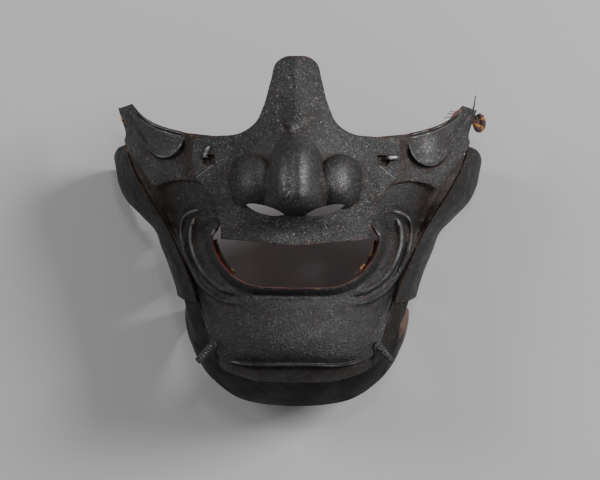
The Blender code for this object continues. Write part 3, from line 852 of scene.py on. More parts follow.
@dataclass(frozen=True)
class RussetIron(Finish):
    """Grainy iron with a dark skin, pale specks, brown dirt in its hollows and ridges pale from use.

    The tint mark of a plate stains it brown from 0 to 1 with dirt and painted shade, turns it to near-black
    painted shade beyond, and below 0 paints a highlight and lowers the roughness.
    """

    dark: Colour = (0.0125, 0.0125, 0.0130)
    skin: Colour = (0.0300, 0.0300, 0.0310)
    speck: Colour = (0.330, 0.310, 0.290)
    # Pale colour of scuffed ridges and scratches, also laid on as painted highlight.
    rubbed_and_highlight: Colour = (0.260, 0.258, 0.260)
    brown: Colour = (0.036, 0.023, 0.017)
    rust: Colour = (0.300, 0.090, 0.030)
    rim: Colour = (0.008, 0.005, 0.004)
    rusty: Colour = (0.070, 0.028, 0.014)
    metallic: float = 0.35
    specular: float = 0.5
    roughness: tuple[float, float] = (0.25, 0.40)
    grain_scale: float = 950.0
    grain_depth: float = 0.00060
    dent_depth: float = 0.00012
    dent_scale: float = 230.0
    broad_scale: float = 45.0
    cloud_scale: float = 160.0
    fleck_scale: float = 420.0
    groove_wear: tuple[float, float] = (0.47, 0.20)
    ridge_wear: tuple[float, float] = (0.72, 0.98)
    rim_width: tuple[float, float] = (0.0007, 0.0004)
    # Range of the tint mark over which the iron turns near black: painted shade.
    painted_shade: tuple[float, float] = (1.2, 1.8)
    scribe_width: float = 0.00022
    scribe_fade: float = 0.0003
    scribes: tuple = ()

    def scribed(self, bench: Bench) -> object:
        """Share of scratched metal: the distance to each line, mirrored left and right.

        Args:
            bench: Material under work.

        Returns:
            A value socket.
        """
        across = bench.math("ABSOLUTE", bench.axis("X"))
        height = bench.axis("Y")
        total = 0.0
        for x, y, end_x, end_y in self.scribes:
            slope = (end_y - y) / (end_x - x)
            rise = bench.math("MULTIPLY", bench.math("SUBTRACT", across, x), slope)
            gap = bench.math("ABSOLUTE", bench.math("SUBTRACT", bench.math("SUBTRACT", height, y), rise))
            line = bench.ramp(gap, self.scribe_width * math.hypot(1, slope), 0.0)
            begin = bench.ramp(across, x - self.scribe_fade, x)
            stop = bench.ramp(across, end_x + self.scribe_fade, end_x)
            line = bench.math("MULTIPLY", bench.math("MULTIPLY", line, begin), stop)
            total = bench.math("MAXIMUM", line, total)
        return total

    def coat(self, bench: Bench) -> None:
        """Lay on the iron.

        Args:
            bench: Material under work.
        """
        broad = bench.noise(self.broad_scale, 5, 0.6)
        cloud = bench.noise(self.cloud_scale, 5, 0.65)
        grain = bench.noise(self.grain_scale, 4, 0.7)
        fleck = bench.noise(self.fleck_scale, 6, 0.75)
        wear, mark = bench.attribute("wear"), bench.attribute("tint")
        skin = bench.blend(bench.ramp(broad, 0.35, 0.65), self.dark, self.skin)
        low = bench.ramp(wear, *self.groove_wear)
        # Brown from the tint mark: dirt, mixed with painted shade in hollows and on the jaw's flange.
        tint = bench.math("MULTIPLY", mark, bench.ramp(cloud, 0.25, 0.55, 0.45, 1))
        stain = bench.math("MAXIMUM", bench.ramp(cloud, 0.50, 0.66, 0, 0.5), low)
        stain = bench.math("MAXIMUM", stain, tint)
        brown = bench.blend(bench.ramp(fleck, 0.35, 0.6), self.rim, self.brown)
        colour = bench.blend(stain, skin, brown)
        spots = bench.ramp(bench.cells(self.grain_scale), 0.34, 0.16)
        spots = bench.math("MULTIPLY", spots, bench.ramp(fleck, 0.47, 0.60, 0.0, 0.8))
        dots = bench.math("MAXIMUM", bench.math("MULTIPLY", bench.ramp(grain, 0.58, 0.66), 0.32), spots)
        dots = bench.math("MULTIPLY", dots, bench.ramp(stain, 0.2, 1.0, 0.85, 0.10))
        colour = bench.blend(dots, colour, self.speck)
        ridge = bench.ramp(wear, *self.ridge_wear)
        ridge = bench.math("MULTIPLY", ridge, bench.ramp(grain, 0.35, 0.6, 0.2, 0.9))
        colour = bench.blend(ridge, colour, self.rubbed_and_highlight)
        if self.scribes:
            colour = bench.blend(bench.math("MULTIPLY", self.scribed(bench), 0.8), colour, self.rubbed_and_highlight)
        red = bench.math("MULTIPLY", bench.ramp(fleck, 0.63, 0.69), bench.ramp(grain, 0.45, 0.55))
        rim = bench.ramp(bench.attribute("edge"), *self.rim_width)
        colour = bench.blend(rim, colour, bench.blend(bench.ramp(fleck, 0.46, 0.60), self.rim, self.rusty))
        # Painted shade: a tint mark above 1 turns the iron near black.
        colour = bench.blend(bench.ramp(mark, *self.painted_shade), colour, self.rim)
        # Painted highlight: a tint mark below 0 lightens the iron in grainy flecks and lowers the roughness.
        gloss_and_highlight = bench.ramp(mark, 0.0, -1.0)
        painted_highlight = bench.math("MULTIPLY", gloss_and_highlight, bench.ramp(grain, 0.40, 0.62, 0.10, 0.85))
        colour = bench.blend(painted_highlight, colour, self.rubbed_and_highlight)
        rough = bench.ramp(cloud, 0.35, 0.65, *self.roughness)
        rough = bench.math("SUBTRACT", rough, bench.math("MULTIPLY", gloss_and_highlight, 0.08))
        bench.paint("Base Color", bench.blend(red, colour, self.rust))
        bench.paint("Roughness", bench.math("ADD", rough, bench.math("MULTIPLY", stain, 0.25)))
        bench.set(Metallic=self.metallic, Specular_IOR_Level=self.specular)
        bench.bump(bench.noise(self.dent_scale, 3, 0.5), self.dent_depth)
        bench.bump(grain, self.grain_depth)


@dataclass(frozen=True)
class BlackLacquer(Finish):
    """Near-black lacquer over iron, greyer at the left end and browner at the right one."""

    lacquer: Colour = (0.0018, 0.0015, 0.0016)
    tint: Colour = (0.008, 0.007, 0.007)
    grey: Colour = (0.040, 0.037, 0.036)
    brown: Colour = (0.105, 0.062, 0.042)
    grey_from: float = -0.0475
    grey_fade: float = 0.006
    brown_from: float = 0.0505
    brown_fade: float = 0.0016
    roughness: tuple[float, float] = (0.38, 0.60)

    def coat(self, bench: Bench) -> None:
        """Lay on the lacquer.

        Args:
            bench: Material under work.
        """
        broad = bench.noise(70, 5, 0.6)
        fine = bench.noise(700, 5, 0.6)
        base = bench.blend(bench.ramp(fine, 0.5, 0.75), self.lacquer, self.tint)
        greying = bench.math("ADD", bench.axis("X"), bench.ramp(broad, 0.3, 0.7, -0.004, 0.004))
        base = bench.blend(bench.ramp(greying, self.grey_from, self.grey_from - self.grey_fade), base, self.grey)
        edge = bench.math("ADD", bench.axis("X"), bench.ramp(broad, 0.3, 0.7, -0.003, 0.003))
        browned = bench.ramp(edge, self.brown_from, self.brown_from + self.brown_fade)
        browned = bench.math("MULTIPLY", browned, bench.ramp(fine, 0.25, 0.5, 0.5, 1.0))
        bench.paint("Base Color", bench.blend(browned, base, self.brown))
        bench.paint("Roughness", bench.ramp(broad, 0.3, 0.7, *self.roughness))
        bench.set(Metallic=0.0, Specular_IOR_Level=0.08)
        bench.bump(fine, 0.00012)


@dataclass(frozen=True)
class RedLacquer(Finish):
    """Red lacquer inside the mask, dulled and chipped."""

    red: Colour = (0.160, 0.032, 0.022)
    dull: Colour = (0.065, 0.029, 0.024)

    def coat(self, bench: Bench) -> None:
        """Lay on the lacquer.

        Args:
            bench: Material under work.
        """
        patch = bench.noise(120, 6, 0.65)
        bench.paint("Base Color", bench.blend(bench.ramp(patch, 0.4, 0.65), self.red, self.dull))
        bench.paint("Roughness", bench.ramp(patch, 0.35, 0.65, 0.32, 0.6))
        bench.bump(bench.noise(500, 4, 0.6), 0.0001)


@dataclass(frozen=True)
class BrightSteel(Finish):
    """Rubbed steel of the turning catches."""

    bright: Colour = (0.14, 0.138, 0.136)
    stain: Colour = (0.020, 0.015, 0.013)

    def coat(self, bench: Bench) -> None:
        """Lay on the steel.

        Args:
            bench: Material under work.
        """
        stain = bench.noise(900, 5, 0.65)
        bench.paint("Base Color", bench.blend(bench.ramp(stain, 0.44, 0.62), self.bright, self.stain))
        bench.paint("Roughness", bench.ramp(stain, 0.4, 0.7, 0.28, 0.6))
        bench.set(Metallic=0.9)
        bench.bump(bench.noise(2500, 3, 0.6), 0.00008)


@dataclass(frozen=True)
class Thread(Finish):
    """Silk thread of one colour, with a twist across it."""

    colour: Colour
    twist: float = 2600.0

    def coat(self, bench: Bench) -> None:
        """Lay on the thread.

        Args:
            bench: Material under work.
        """
        fibre = bench.noise(self.twist, 3, 0.6)
        dim = tuple(0.45 * part for part in self.colour)
        bench.paint("Base Color", bench.blend(bench.ramp(fibre, 0.35, 0.65), dim, self.colour))
        bench.set(Roughness=0.7, Sheen_Weight=0.3)
        bench.bump(fibre, 0.0002)


@dataclass(frozen=True)
class Brocade(Finish):
    """Worn patterned silk: dark ground with gold bars, a red line and a pale one at the iron."""

    ground: Colour = (0.014, 0.012, 0.012)
    gold: Colour = (0.330, 0.170, 0.035)
    red: Colour = (0.240, 0.022, 0.030)
    pale: Colour = (0.300, 0.230, 0.170)
    shadow: Colour = (0.006, 0.005, 0.005)

    def coat(self, bench: Bench) -> None:
        """Lay on the cloth.

        Args:
            bench: Material under work.
        """
        across = bench.attribute("across")
        bars = bench.noise(380, 2, 0.5)
        weave = bench.noise(2200, 2, 0.5)
        shift = bench.math("ADD", across, bench.ramp(bars, 0.3, 0.7, -0.05, 0.05))
        cloth = bench.blend(bench.ramp(bars, 0.54, 0.58), self.ground, self.gold)
        cloth = bench.blend(bench.ramp(shift, 0.385, 0.40), cloth, self.pale)
        line = bench.math("MULTIPLY", bench.ramp(shift, 0.22, 0.27), bench.ramp(shift, 0.40, 0.385))
        cloth = bench.blend(line, cloth, self.red)
        dim = bench.ramp(weave, 0.35, 0.65, 0.55, 1.0)
        cloth = bench.blend(dim, self.shadow, cloth)
        bench.paint("Base Color", cloth)
        bench.set(Roughness=0.85)
        bench.bump(weave, 0.0003)


@dataclass(frozen=True)
class Paper(Finish):
    """Pale grey background paper."""

    colour: Colour = (0.475, 0.470, 0.478)

    def coat(self, bench: Bench) -> None:
        """Lay on the paper.

        Args:
            bench: Material under work.
        """
        soft = bench.noise(900, 3, 0.6)
        shade = tuple(0.97 * part for part in self.colour)
        bench.paint("Base Color", bench.blend(soft, shade, self.colour))
        bench.set(Roughness=0.9)


def dress(thing: bpy.types.Object, body: str, slot: str, nodes: tuple[str, ...],
          *materials: bpy.types.Material) -> bpy.types.Object:
    """Give a piece its materials, its body and the nodes that it stands for.

    Args:
        thing: The piece.
        body: Body that carries it.
        slot: Record slot of its finish; not used.
        nodes: Nodes that it replaces.
        *materials: Materials in slot order.

    Returns:
        The piece.
    """
    for material in materials:
        thing.data.materials.append(material)
    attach(thing, body)
    if nodes:
        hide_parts(*nodes)
    LOG.info("%s: %d faces", thing.name, len(thing.data.polygons))
    return thing


def rail_point(table: tuple, rails: int, section: Array, rail: Array) -> Array:
    """Front-view points of a table of sections.

    Each rail is a smooth curve through the sections' points, and between two rails the points
    lie on a straight line.

    Args:
        table: Rows of x and y shares for each rail.
        rails: Number of rails.
        section: Row number, with fractions.
        rail: Rail number, with fractions.

    Returns:
        Points, last axis 2, in metres.
    """
    lines = []
    for number in range(rails):
        x = read_rows(table, section, 2 * number) * FORM.half_width
        y = read_rows(table, section, 2 * number + 1) * FORM.half_height
        lines.append(np.stack([x, y], axis=-1))
    stack = np.stack(lines)
    lower = np.clip(np.floor(rail).astype(int), 0, rails - 2)
    share = (rail - lower)[..., None]
    picks = np.indices(lower.shape)
    return stack[(lower, *picks)] * (1 - share) + stack[(lower + 1, *picks)] * share


def cut(thing: bpy.types.Object, cutters: list[bpy.types.Object]) -> None:
    """Cut closed cutters out of a piece and keep the result as its mesh.

    Args:
        thing: The piece, with its own modifiers live.
        cutters: Cutters, removed afterwards.
    """
    for cutter in cutters:
        modifier = thing.modifiers.new("Cut", "BOOLEAN")
        modifier.operation = "DIFFERENCE"
        modifier.solver = "EXACT"
        modifier.object = cutter
    graph = bpy.context.evaluated_depsgraph_get()
    mesh = bpy.data.meshes.new_from_object(thing.evaluated_get(graph))
    thing.modifiers.clear()
    thing.data = mesh
    for cutter in cutters:
        bpy.data.objects.remove(cutter)


def prism(name: str, outline: Array, low: float, high: float, frame_rows: Array) -> bpy.types.Object:
    """Closed prism on an outline, raised along the third row of a frame.

    Args:
        name: Object name.
        outline: Points of the outline, n by 2, in the frame's first two directions.
        low: Start along the third direction.
        high: End along the third direction.
        frame_rows: Four rows: three directions and the origin.

    Returns:
        The prism.
    """
    first, second, third, origin = frame_rows
    flat = origin + outline[:, :1] * first + outline[:, 1:] * second
    rings = np.stack([flat + third * low, flat + third * high])
    return new_object(name, shells_mesh(name, [shell(rings)]))


def surface_frame(share: tuple[float, float], lift: float, side: Side, reach: float = 0.0005) -> Array:
    """Frame on the form.

    Args:
        share: Front-view place in shares of the form's half width and half height.
        lift: Set-out from the outermost form.
        side: Side of the mask.
        reach: Distance on both sides over which the slope is taken.

    Returns:
        Four rows: outward, along, normal and origin.
    """
    x, y = share[0] * FORM.half_width, share[1] * FORM.half_height
    near = FORM.depth(np.array([x, x - reach, x + reach, x, x]),
                      np.array([y, y, y, y - reach, y + reach]), lift)
    slope_x, slope_y = (near[2] - near[1]) / (2 * reach), (near[4] - near[3]) / (2 * reach)
    normal = unit(np.array([-slope_x, -slope_y, 1.0]))
    outward = np.array([1.0, 0.0, slope_x])
    point = np.array([x, y, near[0]])
    for vector in (normal, outward, point):
        vector[0] *= side.value
    along = unit(np.cross(normal, outward))
    return np.stack([np.cross(along, normal), along, normal, point])


def face_shares(points: Array) -> tuple[Array, Array]:
    """Distance from the middle and height on the face, as shares of the form's halves."""
    return np.abs(points[..., 0]) / FORM.half_width, points[..., 1] / FORM.half_height


def hammered(points: Array) -> Array:
    """Points moved along their normals by the hammering."""
    return points + grid_normals(points) * HAMMER.at(points)[..., None]


def settled(points: Array, fade_height: float = 0.004) -> Array:
    """Points moved by half the hammering, which fades out near the floor.

    Args:
        points: Grid of points.
        fade_height: Height from which the hammering is whole.

    Returns:
        Points on or above the floor.
    """
    fade = 0.5 * ease(points[..., 2], 0.0, fade_height)
    points = points + grid_normals(points) * (HAMMER.at(points) * fade)[..., None]
    points[..., 2] = np.maximum(points[..., 2], 0)
    return points


def gloss_and_highlight_at(points: Array, spots: tuple) -> Array:
    """Gloss and painted highlight over a plate, a bell round each spot.

    Args:
        points: Grid of points.
        spots: Rows of x, y, half width, half height and amount.

    Returns:
        Share of gloss and painted highlight, from 0 to 1.
    """
    total = np.zeros(points.shape[:-1])
    for x, y, half_width, half_height, amount in spots:
        total += amount * bell(points[..., 0], x, half_width) * bell(points[..., 1], y, half_height)
    return np.minimum(total, 1)


@dataclass
class NosePlate:
    """Detachable nose plate with bridge, wings of the nose, nostrils and upper lip."""

    layer: int = 0
    nose_rise: float = 0.030
    columns: int = 181
    rows: int = 171
    mound: tuple = (
        (1.020, 0.260, 0.350, 1.5),
        (0.800, 0.225, 0.350, 1.5),
        (0.700, 0.245, 0.350, 1.6),
        (0.600, 0.300, 0.360, 1.8),
        (0.500, 0.355, 0.375, 2.0),
        (0.400, 0.400, 0.385, 2.0),
        (0.300, 0.425, 0.390, 2.0),
        (0.220, 0.415, 0.395, 2.0),
        (0.170, 0.370, 0.405, 2.0),
        (0.112, 0.290, 0.430, 2.0),
        (0.090, 0.260, 0.450, 2.0),
        (0.030, 0.190, 0.500, 2.0),
        (-0.080, 0.190, 0.500, 2.0),
    )
    body: tuple = (
        (0.600, 0.000, 0.050, 1.80),
        (0.560, 0.055, 0.068, 1.50),
        (0.520, 0.140, 0.092, 1.30),
        (0.468, 0.255, 0.122, 1.15),
        (0.400, 0.375, 0.147, 1.00),
        (0.330, 0.475, 0.164, 0.88),
        (0.280, 0.535, 0.174, 0.82),
        (0.235, 0.575, 0.174, 0.74),
        (0.200, 0.570, 0.170, 0.68),
        (0.170, 0.525, 0.162, 0.64),
        (0.145, 0.430, 0.148, 0.60),
        (0.125, 0.280, 0.118, 0.60),
        (0.113, 0.130, 0.074, 0.60),
        (0.106, 0.000, 0.030, 0.60),
    )
    tongue: tuple = (
        (0.860, 0.000, 0.070, 1.60),
        (0.760, 0.020, 0.075, 1.60),
        (0.690, 0.052, 0.080, 1.50),
        (0.645, 0.082, 0.080, 1.40),
        (0.620, 0.090, 0.074, 1.20),
        (0.600, 0.076, 0.062, 1.10),
        (0.585, 0.040, 0.048, 1.00),
        (0.572, 0.000, 0.030, 1.00),
    )
    wing: tuple = (0.245, 0.297, 0.100, 0.149, 0.330)
    wing_power: float = 2.3
    wing_roundness: float = 0.68
    wing_shoulder: float = 1.32
    blend_power: float = 3.6
    groove_browning: tuple[float, float] = (0.152, 0.016)
    wrinkle: tuple[float, float, float, float] = (-0.070, 0.050, 0.270, 0.100)
    wrinkle_height: float = 0.00028
    lobe_height: float = 0.0010
    valley_depth: float = 0.0006
    bridge_ridge: float = 0.0004
    top: tuple = (
        (0.000, 1.005), (0.060, 1.000), (0.104, 0.968), (0.132, 0.870), (0.166, 0.734), (0.208, 0.633),
        (0.290, 0.570), (0.400, 0.555), (0.539, 0.555),
    )
    side: tuple = (
        (0.388, -0.029), (0.396, 0.064), (0.420, 0.149), (0.475, 0.263), (0.528, 0.320), (0.546, 0.400),
        (0.546, 0.470), (0.539, 0.555),
    )
    lip: tuple = (
        (0.000, -0.066), (0.129, -0.053), (0.286, -0.037), (0.388, -0.029),
    )
    nostril: tuple = (
        (0.257, 0.164), (0.236, 0.171), (0.205, 0.170), (0.170, 0.163), (0.140, 0.154), (0.110, 0.143),
        (0.080, 0.127), (0.054, 0.110), (0.085, 0.103), (0.115, 0.102), (0.145, 0.107), (0.175, 0.115),
        (0.205, 0.127), (0.235, 0.146),
    )
    slot_place: tuple[float, float] = (0.475, 0.435)
    slot: tuple = (
        (-0.0047, -0.0036), (-0.0004, -0.0038), (0.0012, -0.0022), (0.0012, 0.0010), (-0.0046, 0.0012),
    )
    # Spots of painted highlight and lower roughness on the nose's lobes, wings and tongue: x, y, half width,
    # half height and amount.
    gloss_and_highlight_spots: tuple = (
        (-0.0054, 0.0262, 0.0016, 0.0048, 0.9),
        (0.0038, 0.0275, 0.0019, 0.0085, 1.0),
        (-0.0225, 0.0244, 0.0026, 0.0036, 0.5),
        (0.0218, 0.0255, 0.0028, 0.0042, 0.9),
        (-0.0007, 0.0488, 0.0016, 0.0014, 0.9),
    )

    def ridge(self, table: tuple, across: Array, height: Array, inset: float) -> Array:
        """Ridge along the middle: rise times one less the squared share across, to a power.

        Args:
            table: Rows of height, rise, half width and roundness.
            across: Distance from the middle as a share of the half width of the form.
            height: Height on the face as a share.
            inset: Set-in for the inner face.

        Returns:
            Rise as a share of the nose's rise.
        """
        rows = table[::-1]
        stations = column(rows, 0)
        height = height - inset / FORM.half_height
        rise, width, roundness = (smooth_table(height, stations, column(rows, i)) for i in (1, 2, 3))
        width = np.maximum(width - inset / FORM.half_width, 0.004)
        return np.maximum(rise, 0) * np.maximum(1 - (across / width) ** 2, 0) ** roundness

    def rise(self, x: Array, y: Array, inset: float) -> Array:
        """Rise of the nose above the form.

        A broad mound carries the drop-shaped body and a superellipsoid wing on each side,
        stretched where it runs under the body, and a power mean joins them. A low tongue runs
        down the bridge, and a shallow valley parts the body's front into two soft ridges.

        Args:
            x: Front-view x.
            y: Front-view y.
            inset: Set-in for the inner face.

        Returns:
            Heights in metres.
        """
        across = np.abs(x) / FORM.half_width
        height = y / FORM.half_height
        mound = self.ridge(self.mound, across, height, 0)
        body = self.ridge(self.body, across, height, inset)
        place, middle, half_width, half_height, wing_rise = self.wing
        beside = (across - place) / (half_width - inset / FORM.half_width)
        beside = np.where(beside < 0, beside / self.wing_shoulder, beside)
        spread = np.abs(beside) ** self.wing_power
        spread = spread + np.abs((height - middle)
                                 / (half_height - inset / FORM.half_height)) ** self.wing_power
        wing = wing_rise * np.maximum(1 - spread, 0) ** self.wing_roundness
        power = self.blend_power
        bulge = (body ** power + wing ** power) ** (1 / power)
        tongue = self.ridge(self.tongue, across, height, 0)
        window = ease(height, 0.15, 0.22) * (1 - ease(height, 0.40, 0.54))
        lobes = self.lobe_height * bell(across, 0.060, 0.034)
        lobes = lobes - self.valley_depth * bell(across, 0, 0.020)
        ridge = self.bridge_ridge * bell(across, 0, 0.022) * ease(height, 0.62, 0.72)
        rise = self.nose_rise * (mound + bulge + tongue) + lobes * window + ridge
        return rise + self.wrinkles(x / FORM.half_width, height)

    def wrinkles(self, across: Array, height: Array) -> Array:
        """Curled wrinkles on the left lobe: a sine of bent lines under a bell window.

        Args:
            across: Signed share across.
            height: Height on the face as a share.

        Returns:
            Heights in metres.
        """
        middle, half_width, level, half_height = self.wrinkle
        window = bell(across, middle, half_width * 0.8) * bell(height, level, half_height * 0.8)
        bent = height * 150 + 2.4 * np.sin(across * 95 + 1.2 * np.sin(height * 60))
        return self.wrinkle_height * window * np.sin(bent + 1.7 * np.sin(height * 47 - across * 70))

    def surface(self, inset: float) -> Array:
        """Grid of one face: straight lines from lip to top, bowed by the side outline.

        Args:
            inset: 0 for the outer face, the iron's thickness for the inner one.

        Returns:
            Points, columns by rows by 3.
        """
        spread = np.linspace(-1, 1, self.columns)
        signed = spread * (0.78 + 0.22 * spread ** 2)
        u, v = np.meshgrid(np.abs(signed), np.linspace(0, 1, self.rows), indexing="ij")
        lip = outline_point(self.lip, u)
        top = outline_point(self.top, u)
        side = outline_point(self.side, v)
        chord_x = ((1 - v) * self.lip[-1][0] + v * self.top[-1][0]) * FORM.half_width
        chord_y = ((1 - v) * self.lip[-1][1] + v * self.top[-1][1]) * FORM.half_height
        x = (1 - v) * lip[..., 0] + v * top[..., 0] + u ** 2 * (side[..., 0] - chord_x)
        y = (1 - v) * lip[..., 1] + v * top[..., 1] + u ** 2 * (side[..., 1] - chord_y)
        x = x * np.sign(signed)[:, None]
        z = FORM.depth(x, y, FORM.lift(self.layer) - inset) + self.rise(x, y, inset)
        return hammered(np.stack([x, y, z], axis=-1))

    def tint(self, points: Array) -> Array:
        """Darker brown in the grooves beside the nose's body and round the slots, and spots of gloss with a
        painted highlight.

        Args:
            points: Grid of the outer face.

        Returns:
            Tint by grid point, less where the gloss and painted highlight spots are.
        """
        across, height = face_shares(points)
        groove = bell(across, *self.groove_browning) * ease(height, 0.10, 0.16)
        groove = groove * (1 - ease(height, 0.42, 0.50))
        place, level = self.slot_place
        slot = bell(across, place - 0.03, 0.045) * bell(height, level, 0.045)
        return np.maximum(0.8 * groove, 0.8 * slot) - gloss_and_highlight_at(points, self.gloss_and_highlight_spots)

    def cutters(self) -> list[bpy.types.Object]:
        """Prisms of the nostrils and of the slots for the catches.

        Returns:
            Closed cutters, two on each side.
        """
        made = []
        sizes = np.array([FORM.half_width, FORM.half_height])
        for side in Side:
            rows = np.array([[side.value, 0, 0], [0, 1, 0], [0, 0, 1], [0, 0, FORM.front_depth]])
            lens = np.array(self.nostril) * sizes
            made.append(prism("nostril_" + side.word, lens, -0.02, 0.04, rows))
            rows = surface_frame(self.slot_place, FORM.lift(self.layer), side)
            slot = np.array(self.slot) * (1, side.value)
            made.append(prism("slot_" + side.word, slot, -0.003, 0.003, rows))
        return made

    def build(self, iron: bpy.types.Material, red: bpy.types.Material) -> None:
        """Build the plate and cut its openings.

        Args:
            iron: Iron of the outside.
            red: Lacquer of the inside.
        """
        outer = self.surface(0)
        thing = Wall("nose_plate_forged", outer, self.surface(FORM.iron), tint=self.tint(outer)).build()
        thing.data.materials.append(iron)
        thing.data.materials.append(red)
        cut(thing, self.cutters())
        dress(thing, "guard", "russet_iron", ("nose_plate",))


@dataclass
class CheekPlates:
    """Upper cheek plates with the pouch under each eye."""

    layer: int = 1
    sections: tuple = (
        (0.880, 0.749, 0.943, 0.730, 0.962, 0.729),
        (0.817, 0.676, 0.882, 0.610, 0.916, 0.588),
        (0.778, 0.648, 0.844, 0.555, 0.921, 0.530),
        (0.744, 0.629, 0.810, 0.508, 0.884, 0.459),
        (0.712, 0.615, 0.774, 0.466, 0.835, 0.386),
        (0.689, 0.607, 0.738, 0.431, 0.782, 0.306),
        (0.676, 0.602, 0.719, 0.422, 0.749, 0.268),
        (0.662, 0.598, 0.694, 0.418, 0.688, 0.293),
        (0.637, 0.591, 0.651, 0.435, 0.607, 0.305),
        (0.613, 0.585, 0.616, 0.480, 0.539, 0.297),
        (0.597, 0.580, 0.595, 0.525, 0.459, 0.285),
        (0.589, 0.577, 0.586, 0.559, 0.417, 0.420),
        (0.581, 0.575, 0.576, 0.573, 0.401, 0.552),
    )
    # Spots of painted highlight and lower roughness on the pouches: x, y, half width, half height and amount.
    gloss_and_highlight_spots: tuple = ((0.0618, 0.0415, 0.0034, 0.0042, 0.8), (0.0615, 0.0350, 0.0040, 0.0010, 0.6),
                       (-0.0575, 0.0385, 0.0022, 0.0012, 0.6))
    pouch_higher: float = 0.0017
    pouch: Crease = Crease(((0.812, 0.520), (0.790, 0.478), (0.768, 0.452), (0.738, 0.427),
                            (0.688, 0.416), (0.645, 0.436), (0.616, 0.469), (0.597, 0.513),
                            (0.590, 0.556)),
                           0.0016, 0.0085, 0.0011, 0.0015, 0.0027, (0.50, 0.25))
    creases: tuple[Crease, ...] = (
        Crease(((0.780, 0.462), (0.794, 0.478), (0.822, 0.528), (0.855, 0.585), (0.905, 0.655),
                (0.932, 0.698)), 0.0004, 0.0030, 0.0014, 0.0003, 0.0012, (0.25, 0.10)),
        Crease(((0.855, 0.700), (0.800, 0.652), (0.730, 0.609), (0.660, 0.585), (0.600, 0.568)),
               0.0005, 0.0009, 0.0003, 0.0007, 0.0005, (0.05, 0.02)),
    )

    def surface(self, side: Side, inset: float) -> Array:
        """Grid of one face between the brow edge, the pouch's edge and the outer edge.

        Args:
            side: Side of the mask.
            inset: 0 for the outer face, the iron's thickness for the inner one.

        Returns:
            Points, columns by rows by 3.
        """
        rails = np.concatenate([np.linspace(0, 0.2, 12)[:-1], np.linspace(0.2, 0.8, 20)[:-1],
                                np.linspace(0.8, 1.3, 34)[:-1], np.linspace(1.3, 2, 18)])
        u, rail = np.meshgrid(np.linspace(0, 1, 150), rails, indexing="ij")
        place = rail_point(self.sections, 3, u * (len(self.sections) - 1), rail)
        x, y = place[..., 0], place[..., 1]
        lift = FORM.lift(self.layer) - inset + sum(crease.relief(x, y) for crease in self.creases)
        lift = lift + self.pouch.relief(x, y + side.value * self.pouch_higher)
        return hammered(np.stack([x * side.value, y, FORM.depth(x, y, lift)], axis=-1))

    def tint(self, points: Array) -> Array:
        """Darker brown under the nose plate's edge, in a line beside it and in an arc round the eye, and
        spots of gloss with a painted highlight.

        Args:
            points: Grid of the outer face.

        Returns:
            Tint by grid point, less where the gloss and painted highlight spots are.
        """
        across, height = face_shares(points)
        tint = bell(across, 0.44, 0.09) + 0.55 * bell(across, 0.565, 0.03)
        tint = tint + 0.5 * bell(np.hypot(across - 0.69, height - 0.50), 0.12, 0.025)
        return np.minimum(tint, 1) - gloss_and_highlight_at(points, self.gloss_and_highlight_spots)

    def build(self, iron: bpy.types.Material, red: bpy.types.Material) -> None:
        """Build both cheek plates; their brow edge shows the red of the inside.

        Args:
            iron: Iron of the outside.
            red: Lacquer of the inside.
        """
        for side in Side:
            outer = self.surface(side, 0)
            thing = Wall("cheek_plate_forged_" + side.word, outer, self.surface(side, FORM.iron),
                         rim_slots=RED_RIM, tint=self.tint(outer)).build()
            dress(thing, "guard", "russet_iron", ("cheek_plate_" + side.word,), iron, red)


